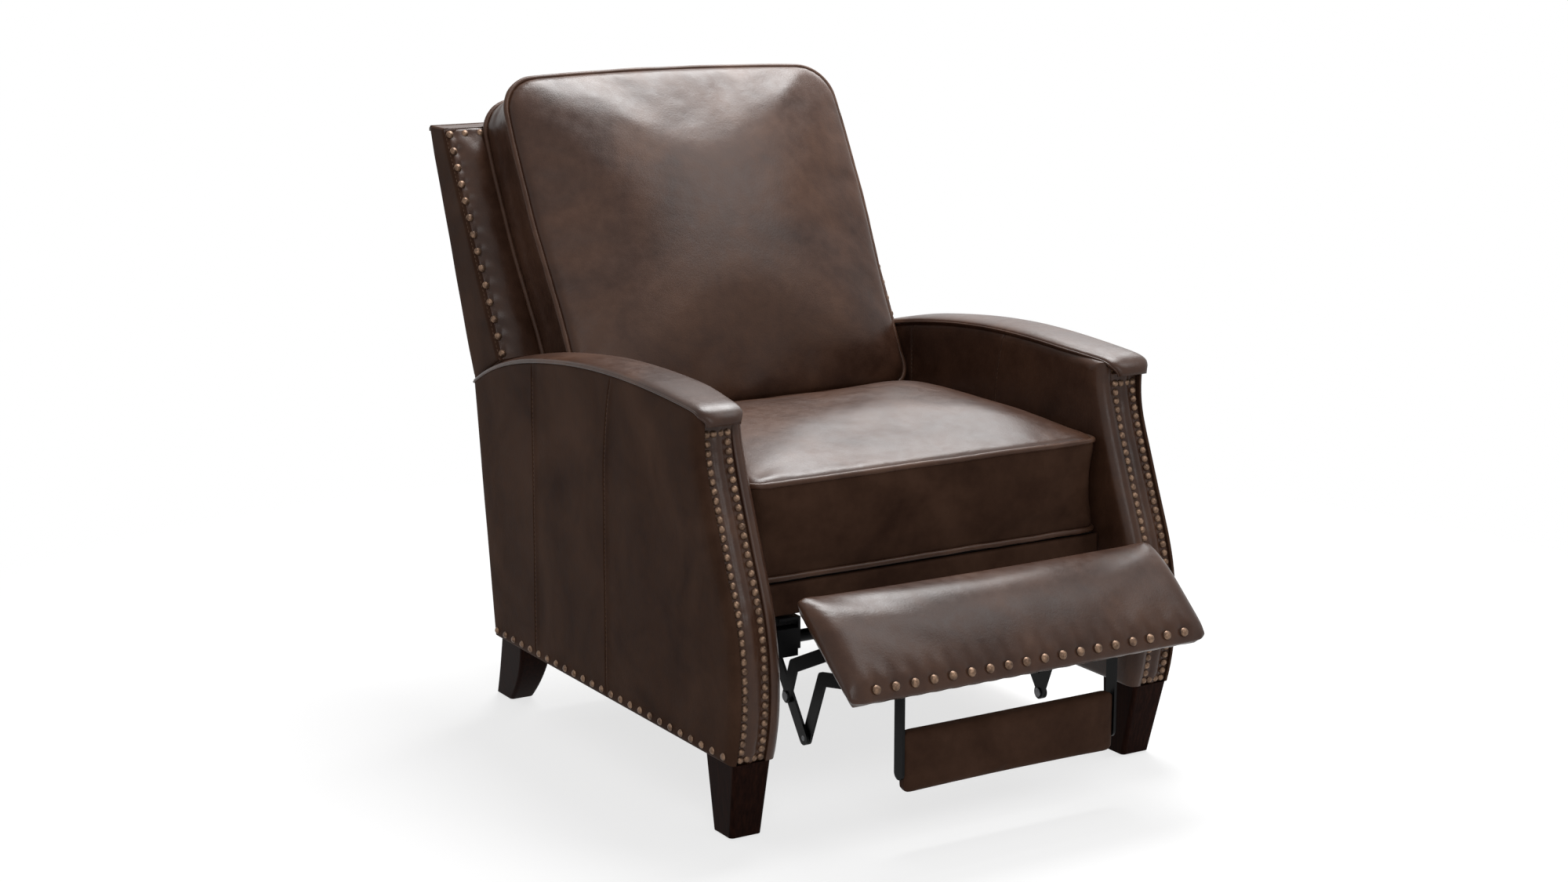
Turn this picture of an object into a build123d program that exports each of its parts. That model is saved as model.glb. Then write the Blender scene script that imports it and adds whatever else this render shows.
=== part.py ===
from build123d import *
import math
import os

# Recliner armchair, in millimetres. It faces -Y, +Z is up and X runs across.
# The sitter's left is +X. The origin is on the floor, under the middle of the
# chair's box with the footrest half open and the back upright.

# Overall sizes
chair_width = 760.0
arm_thickness = 80.0
seat_gap = 4.0
soft_gap = 0.4
leather = 8.0

# Legs
leg_height = 116.0
glide_height = 3.0
glide_radius = 14.0
front_leg_foot = 49.0
front_leg_top_width = 58.0
front_leg_top_depth = 80.0
front_leg_inset = 9.0
front_leg_toe_inset = 18.0
front_leg_toe_setback = 26.0
rear_leg_top_width = 57.0
rear_leg_top_depth = 73.0
rear_leg_foot_width = 39.0
rear_leg_foot_depth = 55.0
rear_leg_inset = 13.0
rear_leg_toe_inset = 33.0
rear_leg_rake = 65.0
rear_leg_knee_share = 0.42
leg_corner = 6.0
leg_bolt_radius = 4.0
leg_bolt_in_leg = 40.0
leg_bolt_in_arm = 30.0
bolt_clearance = 0.1

# Arms: side view of the welt line on top and of the curved front, with rises above the legs
arm_rear_y = 393.0
arm_rear_foot_y = 337.0
arm_rear_rise = 396.0
arm_crest_rise = 482.0
arm_front_top_y = -314.0
arm_front_drop = 10.0
arm_belly_y = -412.0
arm_belly_rise = 120.0
arm_toe_y = -397.0
arm_outer_skin = 12.0
arm_inner_skin = 22.0
arm_top_sink = 8.0
arm_top_crown = 6.0
arm_lip = 26.0
arm_lip_depth = 18.0
arm_lip_edge = 6.0
arm_skin_round = 5.0
# Shares of the way to the front and of the rear drop, along the arm's top
arm_top_shape = ((0.113, 0.593), (0.321, 0.209), (0.58, 0.0))
# Shares of the belly's reach and of the height above it, down the arm's front
arm_front_shape = ((0.03, 0.818), (0.276, 0.622), (0.571, 0.423), (0.857, 0.224), (1.0, 0.0))
strip_thickness = 6.0
strip_recess = 4.0
post_width = 75.0
rail_height = 64.0

# Nail heads
nail_radius = 5.4
nail_height = 3.6
nail_seat = 0.25
strip_nail_count = 36
strip_nail_margin = 7.0
strip_row_count = 4
base_nail_count = 25
base_nail_rise = 12.0
base_nail_margin = 14.0
wing_nail_count = 14
wing_nail_radius = 6.2
wing_nail_height = 4.2
wing_nail_margin = 9.0
wing_row_count = 3
wing_row_gap = 2.0
footrest_nail_count = 18
footrest_nail_radius = 6.4
footrest_nail_height = 4.4

# Back: the front plane leans more than the rear one, and rises are above the legs
wing_inset = 14.0
back_front_angle = 28.5
back_rear_angle = 21.0
back_front_y = 325.57
back_rear_y = 420.16
wing_front_rise = 440.0
wing_rear_rise = 394.0
back_top_rise = 779.0
back_bottom_rise = 184.0
back_deck_rise = 312.0
back_mid_rail_rise = 444.0
back_lower_front_y = 262.0
back_side_gap = 10.0
stile_width = 50.0
back_rail_height = 45.0
webbing_count = 5
webbing_width = 50.0
webbing_thickness = 2.0
back_bracket_height = 78.0
back_bracket_half_width = 16.0
back_bracket_gap = 2.0
back_bracket_reach = 60.0

# Back pillow, measured in the plane of the back's front
pillow_gap = 5.0
pillow_length = 548.0
pillow_boxing = 92.0
pillow_corner = 55.0
pillow_crown = 48.0
pillow_draw_in = 7.0
# Shares of the width drawn in and of the crown reached, up a cushion top
crown_shape = ((0.08, 0.45), (0.25, 0.8), (0.6, 1.0))
pillow_rise = 330.0
welt_radius = 4.5
welt_proud = 2.0
welt_gap = 0.15
cushion_turn = 10.0

# Seat
seat_front_y = -322.0
seat_cushion_rear_y = 182.0
seat_boxing = 137.7
seat_corner = 20.0
seat_crown = 30.0
seat_draw_in = 5.0
seat_frame_rise = 173.4
seat_frame_height = 46.0
seat_side_rail_width = 60.0
seat_front_rail_depth = 32.0
seat_rear_rail_depth = 40.0
seat_front_cover = 10.0
deck_thickness = 2.5
spring_count = 5
spring_wire = 1.9
spring_loops = 17
spring_reach = 16.0
spring_lead = 8.0
seat_back_gap = 22.0
seat_glide_width = 16.0
seat_glide_height = 5.0
seat_rail_inset = 8.0
seat_glide_gap = 0.3

# Base ironwork
plate_thickness = 4.0
plate_gap = 6.0
plate_height = 46.0
plate_flange = 30.0
plate_setback = 4.0
plate_ear_radius = 16.0
flange_setback = 4.0
mount_rail_depth = 20.0
mount_rail_height = 40.0
mount_rail_drop = 10.0
cross_tube_height = 30.0
cross_tube_depth = 25.0
cross_tube_wall = 2.0
cross_tube_y = 160.0
rear_rail_inset = 30.0
rear_rail_depth = 25.0
rear_rail_rise = 34.0
rear_rail_height = 112.0
rear_cover = 3.0
pivot_radius = 5.0
pin_radius = 4.0
pin_clearance = 0.08
pin_head_radius = 7.0
pin_head = 2.2
back_pivot_setback = 38.0
back_pivot_rise = 30.0

# Footrest linkage: steps from pivot to pivot in the side view, at rest
link_thickness = 4.0
link_layer_gap = 1.0
link_plate_gap = 4.0
link_half_width = 10.0
swing_pivot_setback = 122.0
swing_pivot_rise = 23.6
swing_reach_y = -114.0
swing_reach_z = -159.0
lift_reach_y = -181.0
lift_reach_z = 123.0
guide_share = 0.33
swing_tube_share = 0.24
swing_tube_radius = 9.0
lift_bend_y = -40.0
lift_bend_z = 96.0
guide_bend_y = -18.0
guide_bend_z = 49.0
bracket_eye_radius = 12.0
bracket_low = 40.0
bracket_high = 145.0

# Footrest pad, measured in the plane of its board
footrest_ahead = 28.4
footrest_lift = 60.5
footrest_slope = 35.6
footrest_gap = 11.0
footrest_length = 180.0
footrest_board_thickness = 12.0
footrest_board_margin = 6.0
footrest_edge = 6.0
footrest_crown = 25.0
footrest_end_taper = 26.0
# Shares of the taper, of the draw-in and of the crown, out along the pad end
footrest_end_shape = ((0.6, 0.06, 0.74), (1.0, 0.19, 0.3))
footrest_nail_setback = 23.0
footrest_crest_share = 0.42
footrest_nail_line_share = 0.62

# Flap that hangs under the footrest
flap_gap = 23.0
flap_lead = 13.0
flap_thickness = 24.0
flap_height = 90.0
flap_drop = 78.0
flap_pivot_along = 122.8
flap_pivot_below = 28.9
flap_crown = 5.0
hanger_thickness = 4.0
hanger_half_width = 10.0
hanger_lap = 60.0
flap_corner = 8.0
flap_draw_in = 1.5

# Places worked out from the sizes above
arm_outer = chair_width / 2
arm_inner = arm_outer - arm_thickness
arm_core_outer = arm_outer - arm_outer_skin
arm_core_inner = arm_inner + arm_inner_skin
arm_rear_height = leg_height + arm_rear_rise
arm_crest_height = leg_height + arm_crest_rise
arm_belly_height = leg_height + arm_belly_rise
seat_half_width = arm_inner - seat_gap
seat_frame_bottom = leg_height + seat_frame_rise
seat_frame_top = seat_frame_bottom + seat_frame_height
seat_frame_rear_y = back_lower_front_y - seat_back_gap
seat_deck_top = seat_frame_top + deck_thickness
seat_bottom_z = seat_deck_top + soft_gap
seat_length = seat_cushion_rear_y - seat_front_y
seat_rail_outer = seat_half_width - seat_rail_inset
seat_rail_inner = seat_rail_outer - seat_side_rail_width
foot_seam = welt_radius + welt_gap
plate_x = seat_rail_inner - plate_gap - plate_thickness
plate_outer = plate_x + plate_thickness
plate_top = seat_frame_bottom - seat_glide_height
plate_bottom = plate_top - plate_height
plate_front_y = seat_front_y + plate_setback
rear_rail_y = arm_rear_foot_y - rear_rail_inset
rear_rail_bottom = leg_height + rear_rail_rise
rear_rail_top = rear_rail_bottom + rear_rail_height
back_half_width = arm_outer - wing_inset
back_lower_half_width = arm_inner - back_side_gap
back_top = leg_height + back_top_rise
back_bottom = leg_height + back_bottom_rise
back_deck_bottom = leg_height + back_deck_rise
back_pivot_y = back_lower_front_y + back_pivot_setback
back_pivot_z = back_bottom + back_pivot_rise
back_front_lean = math.tan(math.radians(back_front_angle))
back_rear_lean = math.tan(math.radians(back_rear_angle))
wing_front_bottom = leg_height + wing_front_rise
wing_rear_bottom = leg_height + wing_rear_rise
wing_inner = back_half_width - leather
bracket_x = plate_outer + back_bracket_gap
stile_inner = bracket_x + plate_thickness
stile_outer = stile_inner + stile_width
pillow_half_width = arm_inner - pillow_gap
pillow_foot_z = leg_height + pillow_rise
guide_x = plate_x - link_plate_gap - link_thickness
link_x = guide_x - link_layer_gap - link_thickness
lift_x = link_x - link_layer_gap - link_thickness
swing_pivot_y = plate_front_y + swing_pivot_setback
swing_pivot_z = plate_bottom + swing_pivot_rise
knee_y = swing_pivot_y + swing_reach_y
knee_z = swing_pivot_z + swing_reach_z
guide_y = knee_y - guide_share * swing_reach_y
guide_z = knee_z - guide_share * swing_reach_z
lift_end_y = knee_y + lift_reach_y
lift_end_z = knee_z + lift_reach_z
guide_end_y = guide_y + lift_reach_y
guide_end_z = guide_z + lift_reach_z
footrest_rear_y = guide_end_y + footrest_ahead
footrest_rear_z = guide_end_z + footrest_lift
footrest_half_width = arm_inner - footrest_gap
flap_half_width = lift_x - flap_gap
lug_x = flap_half_width + hanger_thickness + link_layer_gap


def prism(points, x_low, x_high):
    """Solid with a straight-sided (y, z) outline between two x places."""
    outline = make_face(Polyline(*points, close=True))
    return extrude(Plane.YZ.offset(x_low) * outline, amount=x_high - x_low, dir=(1, 0, 0))


def slab(edges, x_low, x_high):
    """Solid with a curved (y, z) outline between two x places."""
    outline = make_face(edges)
    return extrude(Plane.YZ.offset(x_low) * outline, amount=x_high - x_low, dir=(1, 0, 0))


def block(x_low, x_high, y_low, y_high, z_low, z_high):
    """Box between three pairs of places."""
    centre = ((x_low + x_high) / 2, (y_low + y_high) / 2, (z_low + z_high) / 2)
    return Pos(*centre) * Box(x_high - x_low, y_high - y_low, z_high - z_low)


def rod(radius, x_low, x_high, y, z):
    """Round bar along X."""
    return Pos((x_low + x_high) / 2, y, z) * Rot(0, 90, 0) * Cylinder(radius, x_high - x_low)


def twins(*parts):
    """The parts on the +X side and their twins on the other side."""
    return [*parts, *[mirror(part, about=Plane.YZ) for part in parts]]


def save(name, *parts):
    """Write one node, as all the solids of its parts."""
    solids = [solid for part in parts for solid in part.solids()]
    export_step(solids[0] if len(solids) == 1 else Compound(solids), f"parts/{name}.step")


def save_sides(name, *parts):
    """Write a left node on the +X side and its mirrored right twin."""
    save(f"left_{name}", *parts)
    save(f"right_{name}", *[mirror(part, about=Plane.YZ) for part in parts])


def nail(radius, height):
    """Domed nail head with its flat side on the XY plane."""
    dome = (radius ** 2 + height ** 2) / (2 * height)
    slant = math.atan2(radius, dome - height) / 2
    shoulder = (dome * math.sin(slant), height - dome + dome * math.cos(slant))
    outline = make_face([
        Line((0, 0), (radius, 0)),
        ThreePointArc((radius, 0), shoulder, (0, height)),
        Line((0, height), (0, 0)),
    ])
    return revolve(Plane.XZ * outline, axis=Axis.Z)


def nails_at(places, radius, height):
    """Nail heads on a list of (point, outward direction)."""
    head = nail(radius, height)
    seated = []
    for point, out in places:
        origin = Vector(*point) + Vector(*out).normalized() * nail_seat
        seated.append(Plane(origin=origin, z_dir=out).location * head)
    return seated


def rounded(width, length, corner, z):
    """Rounded rectangle at a height."""
    return Pos(0, 0, z) * RectangleRounded(width, length, corner)


def welt(width, length, corner, z, radius):
    """Piping round the edge of a cushion, standing a little proud of its sides."""
    inset = 2 * (welt_radius - welt_proud)
    path = rounded(width - inset, length - inset, corner, z).wire()
    section = Plane(origin=path @ 0, z_dir=path % 0) * Circle(radius)
    return sweep(section, path=path)


def cushion(width, length, corner, boxing, draw_in, crown):
    """Boxed cushion on the XY plane: turned-in foot, drawn-in sides and a crowned top."""
    foot = loft([
        rounded(width - 2 * cushion_turn, length - 2 * cushion_turn, corner, 0),
        rounded(width, length, corner, foot_seam),
    ])
    sides = loft([
        rounded(width, length, corner, foot_seam),
        rounded(width - 2 * draw_in, length - 2 * draw_in, corner, (foot_seam + boxing) / 2),
        rounded(width, length, corner, boxing),
    ])
    steps = [rounded(width, length, corner, boxing)]
    for share, rise in crown_shape:
        inset = share * min(width, length)
        steps.append(rounded(width - inset, length - inset, corner * (1 - share), boxing + rise * crown))
    return foot + sides + loft(steps)


def arm_top(drop, inset=0):
    """Top line of the arm in the side view, lowered by drop and drawn in at both ends."""
    crest = arm_crest_height - drop
    reach = arm_front_top_y - arm_rear_y
    fall = arm_crest_height - arm_rear_height
    middle = [(arm_rear_y + along * reach, crest - down * fall) for along, down in arm_top_shape]
    return Spline(
        (arm_rear_y - inset, arm_rear_height - drop),
        *middle,
        (arm_front_top_y + inset, crest - arm_front_drop),
    )


def arm_front(setback, z_top, z_bottom):
    """Curved front line of the arm, moved back by setback, from top to bottom."""
    reach = arm_belly_y - arm_front_top_y
    rise = arm_crest_height - arm_belly_height
    middle = [(arm_front_top_y + out * reach, arm_belly_height + up * rise) for out, up in arm_front_shape]
    points = [(arm_front_top_y, z_top), *middle, (arm_toe_y, z_bottom)]
    return Spline(*[(y + setback, z) for y, z in points])


def skin_outline(edge):
    """Closed side view of an arm's skin, drawn in by edge all round."""
    drop = arm_top_sink + edge
    front_z = arm_crest_height - arm_front_drop - drop
    rear = (arm_rear_y - edge, arm_rear_height - drop)
    bottom = leg_height + edge
    return [
        arm_top(drop, edge),
        arm_front(edge, front_z, bottom),
        Line((arm_toe_y + edge, bottom), (arm_rear_foot_y - edge, bottom)),
        Line((arm_rear_foot_y - edge, bottom), rear),
    ]


def arm_skin(thickness):
    """Padded leather side of an arm from x = 0, sloped in round its face at +X."""
    edge = min(arm_skin_round, thickness / 2)
    rim = [Plane.YZ.offset(thickness - edge + step) * make_face(skin_outline(step)) for step in (0, edge)]
    return slab(skin_outline(0), 0, thickness - edge) + loft(rim, ruled=True)


def arm_core():
    """Everything between the two skins of an arm, behind its nail strip."""
    setback = strip_recess + strip_thickness
    front_z = arm_crest_height - arm_front_drop - arm_top_sink
    rear_z = arm_rear_height - arm_top_sink
    edges = [
        arm_top(arm_top_sink),
        Line((arm_front_top_y, front_z), (arm_front_top_y + setback, front_z)),
        arm_front(setback, front_z, leg_height),
        Line((arm_toe_y + setback, leg_height), (arm_rear_foot_y, leg_height)),
        Line((arm_rear_foot_y, leg_height), (arm_rear_y, rear_z)),
    ]
    return slab(edges, arm_core_inner, arm_core_outer)


def arm_rear_strip():
    """Leather strip down the rear of an arm, between its skins."""
    points = [
        (arm_rear_foot_y - leather, leg_height),
        (arm_rear_y - leather, arm_rear_height),
        (arm_rear_y + leather, arm_rear_height),
        (arm_rear_y + leather, leg_height),
    ]
    return arm_core() & prism(points, 0, arm_outer)


def arm_frame(bolts):
    """Wooden arm: two posts, a top rail and a bottom rail inside the skins."""
    whole = arm_core() - arm_rear_strip() - bolts
    post_front = arm_front_top_y + post_width
    post_rear = arm_rear_foot_y - leather - post_width
    rail_top = leg_height + rail_height
    top_rail = arm_rear_height - rail_height
    crest = arm_crest_height
    cells = [
        block(arm_core_inner, arm_core_outer, 2 * arm_belly_y, post_front, leg_height, crest),
        block(arm_core_inner, arm_core_outer, post_rear, 2 * arm_rear_y, leg_height, crest),
        block(arm_core_inner, arm_core_outer, post_front, post_rear, leg_height, rail_top),
        block(arm_core_inner, arm_core_outer, post_front, post_rear, top_rail, crest),
    ]
    return [whole & cell for cell in cells]


def arm_top_pad():
    """Crowned band along the top of the arm, rolled over the front."""
    front_z = arm_crest_height - arm_front_drop
    lip_y = arm_front_top_y - arm_lip
    lip_z = front_z - arm_lip_depth
    inside_y = arm_front_top_y - arm_lip_edge
    sunk_z = front_z - arm_top_sink
    edges = [
        arm_top(arm_top_sink),
        arm_top(-arm_top_crown),
        Line((arm_rear_y, arm_rear_height - arm_top_sink), (arm_rear_y, arm_rear_height + arm_top_crown)),
        Spline(
            (arm_front_top_y, front_z + arm_top_crown),
            (lip_y + arm_lip_edge, front_z - arm_lip_edge),
            (lip_y, lip_z + arm_lip_edge),
        ),
        Line((lip_y, lip_z + arm_lip_edge), (lip_y + arm_lip_edge, lip_z)),
        Line((lip_y + arm_lip_edge, lip_z), (inside_y, lip_z)),
        Line((inside_y, lip_z), (inside_y, sunk_z)),
        Line((inside_y, sunk_z), (arm_front_top_y, sunk_z)),
    ]
    return slab(edges, arm_inner, arm_outer)


def strip_front():
    """Front line of the nail strip in the side view, from top to bottom."""
    return arm_front(strip_recess, arm_crest_height - arm_front_drop - arm_top_sink, leg_height)


def nail_strip():
    """Leather strip set back between the arm's two skins."""
    front = strip_front()
    rear = Pos(strip_thickness, 0, 0) * strip_front()
    edges = [front, rear, Line(front @ 0, rear @ 0), Line(front @ 1, rear @ 1)]
    return slab(edges, arm_core_inner, arm_core_outer)


def strip_nails():
    """Two columns of nails down the strip, closed by a row at each end."""
    line = strip_front()
    first = (arm_lip_depth + strip_nail_margin) / line.length
    last = 1 - strip_nail_margin / line.length
    outer = arm_core_outer - strip_nail_margin
    inner = arm_core_inner + strip_nail_margin
    places = []
    for index in range(strip_nail_count):
        share = first + (last - first) * index / (strip_nail_count - 1)
        point = line @ share
        along = line % share
        columns = strip_row_count if index in (0, strip_nail_count - 1) else 2
        for step in range(columns):
            x = inner + (outer - inner) * step / (columns - 1)
            places.append(((x, point.X, point.Y), (0, along.Y, -along.X)))
    return nails_at(places, nail_radius, nail_height)


def base_nails():
    """Row of nails along the foot of the arm's outer face."""
    first = arm_toe_y + base_nail_margin
    last = arm_rear_foot_y - base_nail_margin
    places = []
    for index in range(base_nail_count):
        y = first + (last - first) * index / (base_nail_count - 1)
        places.append(((arm_outer, y, leg_height + base_nail_rise), (1, 0, 0)))
    return nails_at(places, nail_radius, nail_height)


def leg(sections):
    """Wooden leg through rounded rectangles given as (x, y, z, width, depth)."""
    outlines = []
    for x, y, z, width, depth in sections:
        outlines.append(Pos(x, y, z) * RectangleRounded(width, depth, leg_corner))
    return loft(outlines)


def back_front(z):
    """Y of the back's front plane at a height."""
    return back_front_y + (z - wing_front_bottom) * back_front_lean


def back_rear(z):
    """Y of the back's rear plane at a height."""
    return back_rear_y + (z - wing_rear_bottom) * back_rear_lean


def front_band(inset, thickness, z_low, z_high, x_low, x_high):
    """Sheet parallel to the back's front plane, inset behind it."""
    points = [
        (back_front(z_low) + inset, z_low),
        (back_front(z_high) + inset, z_high),
        (back_front(z_high) + inset + thickness, z_high),
        (back_front(z_low) + inset + thickness, z_low),
    ]
    return prism(points, x_low, x_high)


def rear_band(z_low, z_high, half_width):
    """Leather sheet on the back's rear plane."""
    points = [
        (back_rear(z_low) - leather, z_low),
        (back_rear(z_high) - leather, z_high),
        (back_rear(z_high), z_high),
        (back_rear(z_low), z_low),
    ]
    return prism(points, -half_width, half_width)


def wing(x_low, x_high):
    """Side of the back between its front and rear leather, from wing bottom to top."""
    top = back_top - leather
    points = [
        (back_front(wing_front_bottom) + leather, wing_front_bottom),
        (back_front(top) + leather, top),
        (back_rear(top) - leather, top),
        (back_rear(wing_rear_bottom) - leather, wing_rear_bottom),
    ]
    return prism(points, x_low, x_high)


def stile():
    """Upright of the back frame on the +X side, straight below the pillow."""
    top = back_top - leather
    bend = wing_front_bottom + (back_lower_front_y - leather - back_front_y) / back_front_lean
    points = [
        (back_lower_front_y, back_bottom),
        (back_lower_front_y, bend),
        (back_front(top) + leather, top),
        (back_rear(top) - leather, top),
        (back_rear(back_bottom) - leather, back_bottom),
    ]
    return prism(points, stile_inner, stile_outer)


def back_rail(z_low):
    """Cross rail of the back frame between the stiles, behind the webbing."""
    z_high = z_low + back_rail_height
    inset = leather + webbing_thickness
    points = [
        (back_front(z_low) + inset, z_low),
        (back_front(z_high) + inset, z_high),
        (back_rear(z_high) - leather, z_high),
        (back_rear(z_low) - leather, z_low),
    ]
    return prism(points, -stile_inner, stile_inner)


def back_plane(z):
    """Plane on the back's front at a height: X across, Y up the back, Z forward."""
    lean = math.radians(back_front_angle)
    return Plane(origin=(0, back_front(z), z), x_dir=(1, 0, 0), z_dir=(0, -math.cos(lean), math.sin(lean)))


def wing_nails():
    """Nails down the outer edge of the wing's front, and a short row along its top to the pillow."""
    x = back_half_width - wing_nail_margin
    row_end = pillow_half_width + welt_proud + wing_nail_radius + wing_row_gap
    row_pitch = (x - row_end) / (wing_row_count - 1)
    out = tuple(back_plane(wing_front_bottom).z_dir)
    low = wing_front_bottom + wing_nail_margin
    high = back_top - wing_nail_margin
    places = []
    for index in range(wing_nail_count):
        z = low + (high - low) * index / (wing_nail_count - 1)
        places.append(((x, back_front(z), z), out))
    for index in range(1, wing_row_count):
        places.append(((x - row_pitch * index, back_front(high), high), out))
    return nails_at(places, wing_nail_radius, wing_nail_height)


def spring_path(x, y_front, y_rear, z):
    """Centre line of a sinuous spring: cross runs joined by half turns."""
    radius = (y_rear - y_front - 2 * spring_lead) / (2 * spring_loops + 2)
    slant = radius * math.sqrt(0.5)
    y = y_front + spring_lead
    edges = [
        Line((x, y_front, z), (x, y, z)),
        ThreePointArc((x, y, z), (x + radius - slant, y + slant, z), (x + radius, y + radius, z)),
    ]
    y += radius
    place = x + radius
    heading = 1
    for _ in range(spring_loops):
        turn = x + heading * spring_reach
        tip = turn + heading * radius
        edges.append(Line((place, y, z), (turn, y, z)))
        edges.append(ThreePointArc((turn, y, z), (tip, y + radius, z), (turn, y + 2 * radius, z)))
        place = turn
        y += 2 * radius
        heading = -heading
    last = x - heading * radius
    middle = (last + heading * slant, y + radius - slant, z)
    edges += [
        Line((place, y, z), (last, y, z)),
        ThreePointArc((last, y, z), middle, (x, y + radius, z)),
        Line((x, y + radius, z), (x, y_rear, z)),
    ]
    return Wire(edges)


def least_gap(path, wire):
    """Least gap between the turns of a wire, measured on points of its path."""
    count = 600
    far = count // spring_loops // 2
    points = [path @ (index / count) for index in range(count + 1)]
    return min(
        (points[first] - points[second]).length - 2 * wire
        for first in range(count)
        for second in range(first + far, min(first + 4 * far, count + 1))
    )


def on_footrest(along, above):
    """(y, z) of a place on the footrest: along its board to the front, and above it."""
    slope = math.radians(footrest_slope)
    y = footrest_rear_y - along * math.cos(slope) - above * math.sin(slope)
    z = footrest_rear_z - along * math.sin(slope) + above * math.cos(slope)
    return y, z


def footrest_slab(along_low, along_high, above_low, above_high, x_low, x_high):
    """Flat piece that lies along the footrest."""
    points = [
        on_footrest(along_low, above_low),
        on_footrest(along_high, above_low),
        on_footrest(along_high, above_high),
        on_footrest(along_low, above_high),
    ]
    return prism(points, x_low, x_high)


def footrest_section(x, margin, crown):
    """Cross section of the footrest pad at one x place."""
    rear = margin
    front = footrest_length - margin
    crest = (rear + front) * footrest_crest_share
    nail_line = footrest_length - footrest_nail_setback
    nail_rise = footrest_edge + crown * footrest_nail_line_share
    corner = on_footrest(rear, footrest_edge)
    top = on_footrest(crest, footrest_edge + crown)
    pulled = on_footrest(nail_line, nail_rise)
    edges = [
        Line(on_footrest(front, 0), on_footrest(rear, 0)),
        Line(on_footrest(rear, 0), corner),
        ThreePointArc(corner, top, pulled),
        Line(pulled, on_footrest(front, footrest_edge)),
        Line(on_footrest(front, footrest_edge), on_footrest(front, 0)),
    ]
    return Plane.YZ.offset(x) * make_face(edges)


def footrest_pad():
    """Crowned leather pad on the footrest board, thinner towards its ends."""
    shoulder = footrest_half_width - footrest_end_taper
    sections = [footrest_section(shoulder, 0, footrest_crown)]
    for out, margin, height in footrest_end_shape:
        x = shoulder + out * footrest_end_taper
        sections.append(footrest_section(x, margin * footrest_end_taper, height * footrest_crown))
    middle = extrude(footrest_section(-shoulder, 0, footrest_crown), amount=2 * shoulder, dir=(1, 0, 0))
    ends = twins(loft(sections))
    return middle + ends[0] + ends[1]


def footrest_nails():
    """Row of large nails along the front of the footrest pad."""
    nail_line = footrest_length - footrest_nail_setback
    low = on_footrest(footrest_length, footrest_edge)
    high = on_footrest(nail_line, footrest_edge + footrest_crown * footrest_nail_line_share)
    middle = ((low[0] + high[0]) / 2, (low[1] + high[1]) / 2)
    out = (0, low[1] - high[1], high[0] - low[0])
    reach = footrest_half_width - footrest_end_taper - footrest_nail_radius
    places = []
    for index in range(footrest_nail_count):
        x = reach * (2 * index / (footrest_nail_count - 1) - 1)
        places.append(((x, *middle), out))
    return nails_at(places, footrest_nail_radius, footrest_nail_height)


def link(points, radius, x_low, thickness):
    """Flat steel strip with round ends along a bent centre line."""
    path = Polyline(*points) if len(points) > 2 else Line(*points)
    outline = make_face(offset(path, amount=radius, side=Side.BOTH).edges())
    return extrude(Plane.YZ.offset(x_low) * outline, amount=thickness, dir=(1, 0, 0))


def lug(edge_low, edge_high, eyes, radius, x_low, thickness):
    """Flat steel web from a straight edge to one or more pivot eyes."""
    edges = [Line(edge_low, edge_high)]
    for y, z in eyes:
        edges += (Pos(y, z) * Circle(radius)).edges()
    outline = make_hull(edges)
    return extrude(Plane.YZ.offset(x_low) * outline, amount=thickness, dir=(1, 0, 0))


def eye(radius, y, z):
    """Cutter for a pivot hole along X, on the +X side."""
    return rod(radius + pin_clearance, 0, chair_width, y, z)


def pin(radius, x_flush, x_end, head, y, z):
    """Pivot pin along X, flush at one end and headed at the other."""
    grip = math.copysign(pin_clearance, head)
    low, high = sorted((x_end + grip, x_end + head))
    shank_low, shank_high = sorted((x_flush, x_end + head))
    return rod(radius, shank_low, shank_high, y, z) + rod(pin_head_radius, low, high, y, z)


os.makedirs("parts", exist_ok=True)

# Legs, with a glide under each foot and a bolt up into the arm
front_leg_y = arm_toe_y + front_leg_top_depth / 2
front_leg_x = arm_outer - front_leg_inset - front_leg_top_width / 2
front_toe_y = arm_toe_y + front_leg_toe_setback + front_leg_foot / 2
front_toe_x = arm_outer - front_leg_toe_inset - front_leg_foot / 2
rear_leg_y = arm_rear_foot_y - rear_leg_top_depth / 2
rear_leg_x = arm_outer - rear_leg_inset - rear_leg_top_width / 2
rear_toe_y = arm_rear_foot_y + rear_leg_rake - rear_leg_foot_depth / 2
rear_toe_x = arm_outer - rear_leg_toe_inset - rear_leg_foot_width / 2
knee = rear_leg_knee_share
front_leg = leg([
    (front_toe_x, front_toe_y, glide_height, front_leg_foot, front_leg_foot),
    (front_leg_x, front_leg_y, leg_height, front_leg_top_width, front_leg_top_depth),
])
rear_leg = leg([
    (rear_toe_x, rear_toe_y, glide_height, rear_leg_foot_width, rear_leg_foot_depth),
    (
        (rear_toe_x + rear_leg_x) / 2,
        rear_leg_y + knee * (rear_toe_y - rear_leg_y),
        (glide_height + leg_height) / 2,
        (rear_leg_foot_width + rear_leg_top_width) / 2,
        rear_leg_top_depth,
    ),
    (rear_leg_x, rear_leg_y, leg_height, rear_leg_top_width, rear_leg_top_depth),
])
bolt_length = leg_bolt_in_leg + leg_bolt_in_arm
bolt_middle = leg_height + (leg_bolt_in_arm - leg_bolt_in_leg) / 2
bolt_places = [(front_leg_x, front_leg_y, bolt_middle), (rear_leg_x, rear_leg_y, bolt_middle)]
bolts = [Pos(*place) * Cylinder(leg_bolt_radius, bolt_length) for place in bolt_places]
bolt_holes = [Pos(*place) * Cylinder(leg_bolt_radius + bolt_clearance, bolt_length) for place in bolt_places]
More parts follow.
